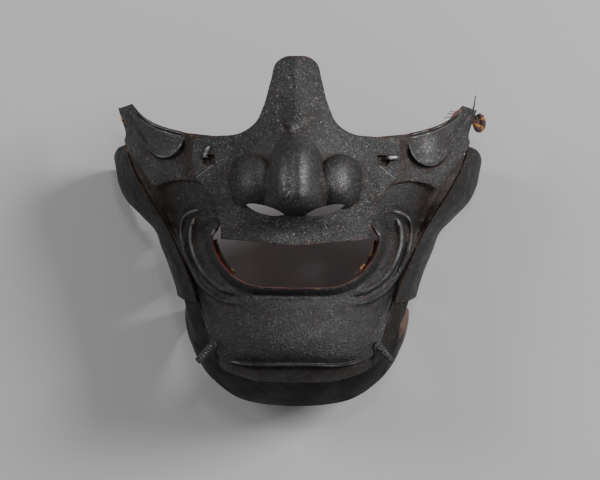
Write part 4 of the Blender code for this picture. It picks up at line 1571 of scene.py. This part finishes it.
@dataclass
class JawPlate:
    """Jaw plate with lower lip, wrinkles, chin and recessed flange."""

    layer: int = 2
    recess_layer: int = 3
    hollow_depth: float = 0.0042
    chin_rise: float = 0.0040
    chin: tuple[float, float, float] = (-0.600, 0.280, 0.130)
    lip_groove: tuple[float, float, float, float] = (0.0013, -0.352, 0.026, 0.300)
    sections: tuple = (
        (0.000, -0.305, 0.000, -0.359, 0.000, -0.404, 0.000, -0.740, 0.000, -0.846, 0.00),
        (0.198, -0.297, 0.229, -0.354, 0.250, -0.402, 0.261, -0.740, 0.253, -0.826, 0.10),
        (0.303, -0.256, 0.348, -0.327, 0.387, -0.379, 0.415, -0.680, 0.448, -0.722, 0.30),
        (0.377, -0.183, 0.463, -0.252, 0.501, -0.301, 0.487, -0.480, 0.552, -0.526, 0.40),
        (0.422, -0.097, 0.526, -0.158, 0.571, -0.182, 0.545, -0.286, 0.622, -0.333, 0.20),
        (0.437, -0.018, 0.559, -0.061, 0.605, -0.070, 0.630, -0.073, 0.695, -0.103, 0.10),
        (0.414, 0.020, 0.560, 0.020, 0.617, 0.020, 0.690, 0.055, 0.752, 0.035, 0.50),
        (0.392, 0.100, 0.535, 0.090, 0.605, 0.100, 0.765, 0.190, 0.845, 0.170, 0.90),
        (0.425, 0.206, 0.527, 0.180, 0.635, 0.197, 0.852, 0.349, 0.905, 0.330, 0.80),
        (0.465, 0.310, 0.568, 0.318, 0.700, 0.369, 0.900, 0.471, 0.935, 0.458, 0.00),
    )
    hollow_across: tuple = (
        (0.00, 0.0), (0.80, 0.0), (1.35, 0.3), (1.70, 0.6), (2.05, 0.7), (2.20, 1.0), (2.50, 1.0),
        (2.85, 0.3), (3.00, 0.0), (4.00, 0.0),
    )
    recess: tuple[float, float] = (3.00, 3.04)
    flange_columns: int = 9
    flange_painted_shade: float = 0.40
    creases: tuple[Crease, ...] = (
        Crease(((0.508, 0.085), (0.532, 0.088), (0.551, 0.060), (0.560, 0.015), (0.560, -0.054),
                (0.545, -0.115), (0.520, -0.180), (0.482, -0.239), (0.430, -0.291),
                (0.371, -0.326), (0.297, -0.349)),
               0.0020, 0.0036, 0.0008, 0.0006, 0.0012, (0.10, 0.22)),
        Crease(((0.490, 0.128), (0.522, 0.135), (0.566, 0.122), (0.600, 0.090), (0.614, 0.043),
                (0.612, -0.018), (0.600, -0.085), (0.578, -0.158), (0.540, -0.240),
                (0.495, -0.308), (0.440, -0.353), (0.385, -0.384), (0.328, -0.394),
                (0.275, -0.390)),
               0.0019, 0.0032, 0.0008, 0.0006, 0.0012, (0.12, 0.20)),
        Crease(((0.395, 0.060), (0.428, 0.012), (0.437, -0.018), (0.430, -0.070), (0.414, -0.115),
                (0.377, -0.183), (0.303, -0.256), (0.198, -0.297), (0.100, -0.304), (0.000, -0.305)),
               0.0013, 0.0010, 0.0040, 0.0005, 0.0020, (0.15, 0.0)),
        Crease(((0.352, -0.722), (0.300, -0.733), (0.255, -0.741), (0.120, -0.742), (0.000, -0.740)),
               0.0014, 0.0014, 0.0004, 0.0006, 0.0008, (0.06, 0.0)),
    )
    lip_peek: float = 0.045
    strip_edge: tuple = (
        (0.42, -0.60), (0.55, -0.30), (0.63, -0.07), (0.69, 0.05), (0.76, 0.19), (0.90, 0.47),
    )

    def surface(self, inset: float) -> Array:
        """Grid of one face from the mouth edge over both folds to the crease and the flange.

        Args:
            inset: 0 for the outer face, the iron's thickness for the inner one.

        Returns:
            Points, columns by rows by 3.
        """
        rails = np.concatenate([np.linspace(0, 2.4, 66)[:-1], np.linspace(2.4, 2.88, 12)[:-1],
                                np.linspace(2.88, 2.99, 13), [3.0, 3.01, 3.02, 3.03, 3.04],
                                np.linspace(3.1, 4, 8)])
        signed = np.linspace(-1, 1, 361)
        u, rail = np.meshgrid(np.abs(signed), rails, indexing="ij")
        points = self.face(u * (len(self.sections) - 1), rail, inset)
        points[..., 0] *= np.sign(signed)[:, None]
        return hammered(points)

    def tint(self, points: Array) -> Array:
        """Brown on the side strips, and brown with painted shade in the hollow beside the folds and on the
        flange.

        The flange at the jaw's sides counts twice, which the finish shows as near-black painted shade.

        Args:
            points: Grid of the outer face.

        Returns:
            Tint by grid point.
        """
        across, height = face_shares(points)
        edge = np.interp(across, column(self.strip_edge, 0), column(self.strip_edge, 1))
        strip = ease(edge + 0.16 - height, 0, 0.07) * ease(across, 0.58, 0.66)
        # Brown with painted shade in the hollow under the cheek plates' arch.
        hollow = ease(across, 0.60, 0.66) * ease(height, 0.02, 0.12)
        # Brown with painted shade on the flange below the chin's crease, which faces down.
        flange = ease(-height, 0.735, 0.75) * 0.7
        tint = np.maximum(np.maximum(0.75 * strip, hollow), flange)
        # Near-black painted shade on the flange at the jaw's sides.
        tint[:, -self.flange_columns:][across[:, -self.flange_columns:] > self.flange_painted_shade] = 2.0
        return tint

    def face(self, section: Array, rail: Array, inset: float) -> Array:
        """Points of the right half by section and rail.

        Args:
            section: Section numbers.
            rail: Rail numbers.
            inset: Set-in for the inner face.

        Returns:
            Points, last axis 3.
        """
        peek = self.lip_peek * np.clip(1 - rail, 0, 1) * (inset > 0)
        place = rail_point(self.sections, len(Rail), section, rail - peek)
        x, y = place[..., 0], place[..., 1]
        hollow = smooth_table(rail, column(self.hollow_across, 0), column(self.hollow_across, 1))
        hollow = read_rows(self.sections, section, 10) * hollow
        lift = FORM.lift(self.layer) - inset - self.hollow_depth * hollow
        lift = lift + sum(crease.relief(x, y) for crease in self.creases)
        lift = lift + self.drop(section, rail, inset)
        across, height = x / FORM.half_width, y / FORM.half_height
        depth, middle, half_height, half_width = self.lip_groove
        lift = lift - depth * bell(height, middle, half_height) * bell(across, 0, half_width)
        middle, half_width, half_height = self.chin
        front = np.clip((self.recess[1] - rail) / 0.20, 0, 1)
        chin = self.chin_rise * bell(across, 0, half_width) * bell(height, middle, half_height)
        z = FORM.depth(x, y, lift) + chin * front
        return np.stack([x, y, z], axis=-1)

    def rail(self, section: Array, number: float) -> Array:
        """Front-view points of the right half along one rail."""
        return rail_point(self.sections, len(Rail), section, np.full(section.shape, number))

    def drop(self, section: Array, rail: Array, inset: float) -> Array:
        """Step down to the recessed flange.

        Args:
            section: Section numbers.
            rail: Rail numbers.
            inset: Set-in; the inner face steps that much earlier, so the wall keeps its thickness.

        Returns:
            Lift of the step, zero before it.
        """
        fold, crease = self.rail(section, Rail.FOLD.value), self.rail(section, Rail.CREASE.value)
        early = np.minimum(inset / np.linalg.norm(crease - fold, axis=-1), 0.5)
        share = ease(rail + early, *self.recess)
        return share * (FORM.lift(self.recess_layer) - FORM.lift(self.layer))

    def build(self, iron: bpy.types.Material, red: bpy.types.Material) -> None:
        """Build the jaw; the rim along the mouth shows the red of the inside.

        Args:
            iron: Iron of the outside.
            red: Lacquer of the inside.
        """
        outer = self.surface(0)
        thing = Wall("jaw_plate_forged", outer, self.surface(FORM.iron), rim_slots=RED_RIM,
                     tint=self.tint(outer)).build()
        dress(thing, "guard", "russet_iron", ("jaw_plate",), iron, red)


@dataclass
class EarPlates:
    """Flanges from the jaw's crease back to the ears, flat on the floor behind."""

    jaw: JawPlate
    layer: int = 2
    side_clearance: float = 0.0006
    ridge_height: float = 0.0009
    ridge: tuple[float, float, float] = (0.40, 0.16, 0.45)
    sections: tuple = (
        (3.48, -0.362, 0.170),
        (3.75, -0.300, 0.158),
        (4.25, -0.200, 0.140),
        (5.00, -0.075, 0.110),
        (5.60, 0.020, 0.065),
        (6.20, 0.100, 0.035),
        (6.80, 0.190, 0.006),
        (7.30, 0.277, -0.030),
        (7.80, 0.345, -0.030),
        (8.25, 0.400, 0.040),
        (8.60, 0.455, 0.190),
        (8.85, 0.495, 0.340),
        (9.00, 0.518, 0.480),
    )

    def surface(self, side: Side, inset: float) -> Array:
        """Grid of one face, even in angle and height between the crease and the rear rim.

        Args:
            side: Side of the mask.
            inset: 0 for the outer face, the iron's thickness for the inner one.

        Returns:
            Points, columns by rows by 3.
        """
        u, v = np.meshgrid(np.linspace(0, 1, 110), np.linspace(0, 1, 44), indexing="ij")
        step = u * (len(self.sections) - 1)
        section = read_rows(self.sections, step, 0)
        foot = self.jaw.rail(section, self.jaw.recess[1])
        outward = self.jaw.rail(section, Rail.FLANGE.value) - foot
        inner = foot + self.side_clearance * unit(outward)
        rim_y = read_rows(self.sections, step, 1) * FORM.half_height
        rim_z = read_rows(self.sections, step, 2) * FORM.front_depth
        lift = FORM.lift(self.layer)
        start = FORM.angle(inner[..., 0], inner[..., 1], lift)
        end = FORM.angle_of_depth(rim_z, rim_y, lift)
        place, half_width, length = self.ridge
        ridge = bell(v, place, half_width) * np.clip(1 - u / length, 0, 1)
        y = inner[..., 1] * (1 - v) + rim_y * v
        lift = lift - inset + self.ridge_height * ridge
        points = FORM.point(start * (1 - v) + end * v, y, lift)
        points[..., 0] *= side.value
        return settled(points)

    def build(self, iron: bpy.types.Material, red: bpy.types.Material) -> None:
        """Build both ear plates.

        Args:
            iron: Iron of the outside.
            red: Lacquer of the inside.
        """
        for side in Side:
            thing = Wall("ear_plate_forged_" + side.word, self.surface(side, 0),
                         self.surface(side, FORM.iron)).build()
            dress(thing, "guard", "russet_iron", ("ear_plate_" + side.word,), iron, red)


@dataclass
class ThroatPlate:
    """Dark plate under the chin and jaw."""

    layer: int = 4
    sections: tuple = (
        (0.000, -0.775, 90.0, -0.998),
        (0.136, -0.770, 67.0, -0.990),
        (0.241, -0.750, 42.0, -0.955),
        (0.315, -0.700, 25.0, -0.877),
        (0.364, -0.640, 15.5, -0.785),
        (0.417, -0.555, 9.0, -0.694),
        (0.478, -0.485, 3.0, -0.600),
        (0.522, -0.425, -2.0, -0.510),
        (0.545, -0.395, -2.0, -0.450),
    )

    def surface(self, inset: float) -> Array:
        """Grid of one face, even in angle and height between the hidden and the lower edge.

        Args:
            inset: 0 for the outer face, the iron's thickness for the inner one.

        Returns:
            Points, columns by rows by 3.
        """
        signed = np.linspace(-1, 1, 201)
        u, v = np.meshgrid(np.abs(signed), np.linspace(0, 1, 36), indexing="ij")
        step = u * (len(self.sections) - 1)
        inner_x = read_rows(self.sections, step, 0) * FORM.half_width
        inner_y = read_rows(self.sections, step, 1) * FORM.half_height
        outer_y = read_rows(self.sections, step, 3) * FORM.half_height
        lift = FORM.lift(self.layer)
        start = FORM.angle(inner_x, inner_y, lift)
        end = np.radians(np.maximum(read_rows(self.sections, step, 2), 0))
        y = inner_y * (1 - v) + outer_y * v
        points = FORM.point(start * (1 - v) + end * v, y, lift - inset)
        points[..., 0] *= np.sign(signed)[:, None]
        return settled(points)

    def build(self, lacquer: bpy.types.Material, red: bpy.types.Material) -> None:
        """Build the throat plate.

        Args:
            lacquer: Lacquer of the outside.
            red: Lacquer of the inside.
        """
        thing = Wall("throat_plate_forged", self.surface(0), self.surface(FORM.iron)).build()
        dress(thing, "guard", "black_lacquer", ("throat_plate",), lacquer, red)


@dataclass
class TurningCatches:
    """Bright catches on studs through nose and cheek plates: a wedge above, a foot below."""

    place: tuple[float, float] = (0.475, 0.435)
    reach: float = 0.0058
    heel: float = 0.0002
    width: float = 0.0023
    tip_width: float = 0.0015
    thickness: float = 0.0010
    clearance: float = 0.00035
    stud_radius: float = 0.0009
    foot_radius: float = 0.0020
    foot_thickness: float = 0.0008
    squareness: float = 4.5
    turns: tuple = ((Side.RIGHT, 0.0), (Side.LEFT, 115.0))

    def arm(self, rows: Array, turn: float) -> Array:
        """Rings of the arm: superellipses that taper to the tip and close at both ends.

        Args:
            rows: Frame of the catch.
            turn: Turn of the arm about the stud, in radians.

        Returns:
            Rings by points by 3.
        """
        travel = np.sin(np.linspace(-0.5, 0.5, 25) * math.pi) * 0.5 + 0.5
        along = travel * (self.reach + self.heel) - self.heel
        close = (1 - np.abs(2 * travel - 1) ** 5) ** 0.5 * 0.92 + 0.08
        half_width = (self.width + (self.tip_width - self.width) * travel) / 2 * close
        half_height = self.thickness / 2 * close
        angle = np.linspace(0, 2 * math.pi, 24, endpoint=False)
        square = 2 / self.squareness
        round_y = np.sign(np.cos(angle)) * np.abs(np.cos(angle)) ** square
        round_z = np.sign(np.sin(angle)) * np.abs(np.sin(angle)) ** square
        first = rows[0] * math.cos(turn) + rows[1] * math.sin(turn)
        second = rows[1] * math.cos(turn) - rows[0] * math.sin(turn)
        middle = rows[3] + rows[2] * (self.clearance + self.thickness / 2)
        return (middle + along[:, None, None] * first
                + (half_width[:, None] * round_y)[..., None] * second
                + (half_height[:, None] * round_z)[..., None] * rows[2])

    def build(self, steel: bpy.types.Material) -> None:
        """Build both catches, each on its own body.

        Args:
            steel: Steel of the catches.
        """
        step = FORM.iron + FORM.plate_gap
        foot_top = -step - FORM.iron - self.clearance
        foot_bottom = foot_top - self.foot_thickness
        head = self.clearance + self.thickness * 1.12
        radius, foot = self.stud_radius, self.foot_radius
        for side, degrees in self.turns:
            rows = surface_frame(self.place, FORM.lift(0), side)
            stud = np.array([[foot * 0.2, foot_bottom], [foot * 0.9, foot_bottom],
                             [foot, foot_bottom + 0.0002], [foot, foot_top - 0.0002],
                             [foot * 0.9, foot_top], [radius, foot_top],
                             [radius, head - 0.0003], [radius * 0.75, head - 0.0001], [radius * 0.2, head]])
            shells = [shell(self.arm(rows, math.radians(degrees) * side.value)), shell(lathe(stud, rows))]
            name = "turning_catch_" + side.word
            thing = new_object(name, shells_mesh(name, shells))
            dress(thing, "catch_" + side.word, "bright_steel", ("nose_catch_" + side.word,), steel)


@dataclass
class CordPegs:
    """Ribbed cord pegs, each in an oval boss with a raised ring, above the chin's crease."""

    jaw: JawPlate
    section: float = 2.15
    rail: float = 2.93
    length: float = 0.0106
    radius: float = 0.0021
    rib_depth: float = 0.0005
    ribs: int = 7
    boss_radius: float = 0.0027
    boss_height: float = 0.0015
    clearance: float = 0.0003
    lean: tuple[float, float] = (0.55, -1.35)
    taper: float = 0.12
    tip: float = 0.05

    def frame_rows(self, side: Side) -> Array:
        """Directions and origin on the jaw's face at the boss.

        Args:
            side: Side of the mask.

        Returns:
            Four rows: two directions along the face, its normal and the origin.
        """
        sections = np.array([self.section, self.section + 0.05, self.section])
        rails = np.array([self.rail, self.rail, self.rail - 0.05])
        point, along, across = self.jaw.face(sections, rails, 0)
        normal = np.cross(along - point, across - point)
        normal *= np.sign(normal[2]) / np.linalg.norm(normal)
        mirror = np.array([side.value, 1, 1])
        return self.square_rows(normal * mirror, point * mirror)

    @staticmethod
    def square_rows(normal: Array, origin: Array) -> Array:
        """Frame rows round a direction."""
        first = unit(np.cross((0.0, 0.0, 1.0), normal))
        return np.stack([first, np.cross(normal, first), normal, origin])

    def peg_profile(self) -> Array:
        """Profile of the peg: ribs by a raised sine, closed round at the tip.

        Returns:
            Rows of radius and height.
        """
        height = np.linspace(0, 1, 120)
        wave = np.abs(np.sin(math.pi * self.ribs * height)) ** 0.6
        radius = self.radius - self.rib_depth * (1 - wave)
        radius = radius * (1 - self.taper * height) * np.sqrt(np.clip((1 - height) / self.tip, 0.02, 1))
        return np.stack([radius, height * self.length], axis=1)

    def build(self, iron: bpy.types.Material) -> None:
        """Build both pegs with their bosses.

        Args:
            iron: Iron of the pegs.
        """
        size, high, low = self.boss_radius, self.boss_height + self.clearance, self.clearance
        boss = np.array([[size * 0.1, low], [size, low], [size * 1.06, low + 0.0002],
                         [size * 1.02, high - 0.0006], [size * 0.90, high - 0.0002],
                         [size * 0.80, high - 0.0002], [size * 0.76, high - 0.0004],
                         [size * 0.68, high], [size * 0.1, high]])
        for side in Side:
            rows = self.frame_rows(side)
            lean = rows[2] + np.array([side.value * self.lean[0], self.lean[1], 0])
            top = rows[3] + rows[2] * (high - 0.0005)
            peg_rows = self.square_rows(unit(lean), top)
            shells = [shell(lathe(boss, rows, 40)), shell(lathe(self.peg_profile(), peg_rows, 28))]
            name = "ribbed_peg_" + side.word
            thing = new_object(name, shells_mesh(name, shells))
            dress(thing, "guard", "peg_iron", ("cord_peg_" + side.word,), iron)


@dataclass
class LiningStrips:
    """Strips of brocade behind the mouth's corners, frayed along the edge that shows."""

    jaw: JawPlate
    shows: float = 0.0024
    hidden: float = 0.0030
    thickness: float = 0.0010
    clearance: float = 0.0005
    ends: tuple[float, float] = (2.3, 4.7)
    fray: float = 0.00035
    edge_round: float = 0.0003
    ripples: tuple = ((61, 0, 0.5), (143, 1, 0.3), (310, 0, 0.2))

    def surface(self, side: Side, lift: float) -> Array:
        """Grid along the mouth's edge and outward under the jaw.

        The free edge waves by a sum of sines, each with its own turns, phase and share.

        Args:
            side: Side of the mask.
            lift: Set-out from the strip's upper face.

        Returns:
            Points, columns by rows by 3.
        """
        u, v = np.meshgrid(np.linspace(0, 1, 160), np.linspace(0, 1, 14), indexing="ij")
        section = self.ends[0] + u * (self.ends[1] - self.ends[0])
        mouth = self.jaw.rail(section, Rail.MOUTH.value)
        outward = unit(self.jaw.rail(section, Rail.LIP.value) - mouth)
        wave = self.fray * sum(np.sin(u * turns + phase) * share for turns, phase, share in self.ripples)
        reach = v * (self.shows + self.hidden) - self.shows + wave * (1 - v)
        place = mouth + outward * reach[..., None]
        level = FORM.lift(self.jaw.layer) - FORM.iron - self.clearance + lift
        z = FORM.depth(place[..., 0], place[..., 1], level)
        return np.stack([place[..., 0] * side.value, place[..., 1], z], axis=-1)

    def build(self, brocade: bpy.types.Material) -> None:
        """Build both strips; an attribute counts from the free edge to the hidden one.

        Args:
            brocade: Cloth of the strips.
        """
        for side in Side:
            name = "brocade_strip_" + side.word
            outer = self.surface(side, 0)
            inner = self.surface(side, -self.thickness)
            thing = Wall(name, outer, inner, edge_round=self.edge_round).build()
            share = np.broadcast_to(np.linspace(0, 1, outer.shape[1]), outer.shape[:2])
            mark_points(thing.data, "across", np.concatenate([share.ravel()] * 2))
            dress(thing, "guard", "brocade", ("lining_strip_" + side.word,), brocade, brocade)


@dataclass
class CordTuft:
    """Loop of silk cord at the right wing's tip: strands of four colours wound on each other.

    It is seated under the plate at a share of the half width. Each end is a share of the way
    round the loop, a reach in three directions, a thread and a radius: four fray, and two go in
    under the wing.
    """

    place: tuple[float, float] = (0.975, 0.655)
    seat: float = 0.927
    loop: tuple[float, float] = (0.0016, 0.0030)
    under: float = 0.0012
    clearance: float = 0.0006
    climb: float = 0.0016
    ripple: float = 0.0003
    ends: tuple = (
        (0.54, (0.0006, 0.0018, 0.0006), 1, 0.00030),
        (0.60, (0.0010, 0.0014, 0.0004), 1, 0.00030),
        (0.66, (0.0010, 0.0008, 0.0002), 3, 0.00030),
        (0.72, (0.0004, 0.0016, 0.0010), 3, 0.00030),
        (0.12, (-0.0034, -0.0006, 0.0026), 1, 0.00060),
        (0.22, (-0.0034, 0.0006, 0.0026), 3, 0.00060),
    )
    strand_radius: float = 0.00075
    wind_radius: float = 0.00100
    winds: float = 3.2
    turns: float = 0.96
    start: float = math.radians(-60)

    def path(self) -> Array:
        """Middle of the cord: most of an upright ellipse, which climbs a little as it turns.

        Returns:
            Points, n by 3.
        """
        x, y = self.place[0] * FORM.half_width, self.place[1] * FORM.half_height
        level = FORM.lift(1) - FORM.iron - self.clearance - self.under
        z = float(FORM.depth(np.array(self.seat * FORM.half_width), np.array(y), level))
        travel = np.linspace(0, 1, 260)
        angle = self.start + 2 * math.pi * self.turns * travel
        return np.stack([x - self.loop[0] * np.cos(angle), y - self.loop[1] * np.sin(angle),
                         z - self.under * (1 - np.cos(angle)) + self.climb * travel], axis=-1)

    def build(self, threads: list[bpy.types.Material]) -> None:
        """Build the loop, one strand for each thread colour, and its ends.

        Args:
            threads: Thread materials in the order of the silks.
        """
        middle = self.path()
        inward = unit(np.gradient(middle, axis=0))
        flat = unit(np.cross(inward, (0.0, 0.0, 1.0)))
        upright = np.cross(flat, inward)
        travel = np.linspace(0, 1, len(middle))
        fade = np.sqrt(np.clip(np.minimum(travel, 1 - travel) / 0.02, 0.05, 1))
        shells = []
        for number in range(len(threads)):
            turn = 2 * math.pi * (self.winds * travel + number / len(threads))
            offset = flat * np.cos(turn)[:, None] + upright * np.sin(turn)[:, None]
            shells.append(shell(tube(middle + self.wind_radius * offset, self.strand_radius * fade)))
        slots = list(range(len(threads)))
        bend = np.linspace(0, 1, 12)[:, None]
        for share, reach, slot, radius in self.ends:
            root = middle[int(share * (len(middle) - 1))]
            path = root + bend * reach + self.ripple * np.sin(bend * 5)
            shells.append(shell(tube(path, radius * (1.2 - 0.7 * bend[:, 0]), 6)))
            slots.append(slot)
        thing = new_object("silk_loop", shells_mesh("silk_loop", shells, slots))
        dress(thing, "guard", "silk_cord", ("cord_tuft",), *threads)


@dataclass
class WingThreads:
    """Loose thread ends: at the right wing a stiff dark one and four red, at the left gold and red.

    Each line is a thread, a start and an end in shares of the form, a bow and a radius.
    """

    waves: float = 0.0006
    over: float = 0.0002
    depth_limit: float = 0.082
    lines: tuple = (
        (0, (0.934, 0.700), (0.951, 0.806), 0.0008, 0.00050),
        (1, (0.866, 0.715), (0.795, 0.690), 0.0004, 0.00036),
        (1, (0.858, 0.706), (0.776, 0.664), 0.0006, 0.00036),
        (1, (0.870, 0.722), (0.806, 0.704), 0.0010, 0.00030),
        (1, (0.850, 0.698), (0.812, 0.672), 0.0003, 0.00030),
        (2, (-0.936, 0.672), (-0.930, 0.640), 0.0003, 0.00055),
        (1, (-0.929, 0.655), (-0.916, 0.612), 0.0003, 0.00040),
    )

    def path(self, start: tuple, end: tuple, bow: float) -> Array:
        """Wavy line between two front-view places that lies on the cheek plate's edge.

        Args:
            start: First place in shares of the form.
            end: Last place.
            bow: How far the middle stands up, and how far the end lifts.

        Returns:
            Points, n by 3.
        """
        travel = np.linspace(0, 1, 40)[:, None]
        flat = np.array(start) * (1 - travel) + np.array(end) * travel
        flat = flat * (FORM.half_width, FORM.half_height)
        flat = flat + np.sin(travel * 9) * (0, self.waves) * travel
        z = FORM.depth(np.minimum(np.abs(flat[:, 0]), self.depth_limit), flat[:, 1], FORM.lift(1))
        lift = self.over + bow * np.sin(math.pi * travel[:, 0]) + bow * travel[:, 0]
        return np.stack([flat[:, 0], flat[:, 1], z + lift], axis=-1)

    def build(self, threads: list[bpy.types.Material]) -> None:
        """Build all the thread ends as one piece.

        Args:
            threads: Thread materials in the order of the silks.
        """
        taper = np.linspace(1, 0.5, 40)
        shells = [shell(tube(self.path(start, end, bow), radius * taper, 6))
                  for _, start, end, bow, radius in self.lines]
        slots = [line[0] for line in self.lines]
        thing = new_object("wing_threads", shells_mesh("wing_threads", shells, slots))
        dress(thing, "guard", "silk_cord", (), *threads)


@dataclass
class Stage:
    """Paper floor, studio lights and the camera above."""

    floor_half: float = 1.6
    camera_height: float = 1.5
    camera_place: tuple[float, float] = (0.0012, -0.00265)
    camera_lens: float = 183.2
    camera_roll: float = math.radians(0.35)
    camera_aside: float = 0.018
    sky: tuple[float, float, float, float] = (0.95, 0.97, 1.0, 1.0)
    sky_strength: float = 0.22
    aim: tuple[float, float, float] = (0, 0, 0.04)
    lights: tuple = (
        ("key_softbox", (1.20, 0.55, 0.96), 0.55, 32.0),
        ("top_softbox", (0.14, 0.46, 1.42), 0.16, 2.4),
        ("fill_softbox", (-1.10, 0.55, 0.98), 0.50, 9.0),
    )

    def build(self) -> None:
        """Build the floor, the lights and the camera."""
        half = self.floor_half
        points = np.array([[-half, -half, 0], [half, -half, 0], [half, half, 0], [-half, half, 0]])
        floor = new_object("paper_floor", mesh_from("paper_floor", points, np.array([[0, 1, 2, 3]])))
        floor.data.materials.append(Paper().material("grey_paper"))
        for name, place, size, power in self.lights:
            self.add_light(name, place, size, power)
        world = bpy.data.worlds.new("studio")
        world.use_nodes = True
        background = world.node_tree.nodes["Background"]
        background.inputs["Color"].default_value = self.sky
        background.inputs["Strength"].default_value = self.sky_strength
        bpy.context.scene.world = world
        self.add_camera()

    def add_light(self, name: str, place: tuple[float, float, float], size: float, power: float) -> None:
        """Add a square light that looks at the mask.

        Args:
            name: Light name.
            place: Where it stands, in metres.
            size: Side of the square in metres.
            power: Power in watts.
        """
        data = bpy.data.lights.new(name, "AREA")
        data.size = size
        data.energy = power
        light = bpy.data.objects.new(name, data)
        light.location = place
        direction = Vector(self.aim) - light.location
        light.rotation_euler = direction.to_track_quat("-Z", "Y").to_euler()
        bpy.context.scene.collection.objects.link(light)

    def add_camera(self) -> None:
        """Add the camera, straight above, turned a little as the photograph is."""
        data = bpy.data.cameras.new("camera")
        data.lens = self.camera_lens
        data.sensor_width = 36.0
        camera = bpy.data.objects.new("camera", data)
        lean = math.atan2(self.camera_aside, self.camera_height)
        camera.rotation_euler = (0, lean, self.camera_roll)
        back = Vector((0, 0, 1))
        back.rotate(camera.rotation_euler)
        camera.location = Vector((*self.camera_place, 0)) + back * self.camera_height
        bpy.context.scene.collection.objects.link(camera)
        bpy.context.scene.camera = camera


def main() -> None:
    """Build the whole scene."""
    logging.basicConfig(level=logging.INFO, format="%(message)s")
    iron = RussetIron().material("russet_iron_skin")
    scribed = RussetIron(scribes=SCRIBES).material("russet_iron_scribed")
    # Darker copy of the iron for the ear plates, also duller: its darker colours are painted shade on the
    # ears, which face sideways.
    shaded_ear_iron = RussetIron(dark=(0.006, 0.006, 0.006), skin=(0.014, 0.014, 0.014),
                           speck=(0.15, 0.14, 0.12), specular=0.25, metallic=0.1,
                           roughness=(0.42, 0.60)).material("russet_iron_painted_shade")
    # Copy of the iron for the jaw with duller specks and a darker skin, which is painted shade.
    jaw_iron_sparse_and_shaded = RussetIron(skin=(0.024, 0.024, 0.025),
                          speck=(0.21, 0.20, 0.19)).material("russet_iron_jaw_sparse_and_shaded")
    red = RedLacquer().material("red_lacquer")
    lacquer = BlackLacquer().material("black_lacquer_grey_brown")
    steel = BrightSteel().material("bright_steel_rubbed")
    brocade = Brocade().material("brocade_worn")
    threads = [Thread(colour).material("silk_" + name) for name, colour in SILKS.items()]
    NosePlate().build(scribed, red)
    CheekPlates().build(iron, red)
    jaw = JawPlate()
    jaw.build(jaw_iron_sparse_and_shaded, red)
    EarPlates(jaw).build(shaded_ear_iron, red)
    ThroatPlate().build(lacquer, red)
    TurningCatches().build(steel)
    CordPegs(jaw).build(iron)
    LiningStrips(jaw).build(brocade)
    CordTuft().build(threads)
    WingThreads().build(threads)
    Stage().build()


if __name__ == "__main__":
    main()
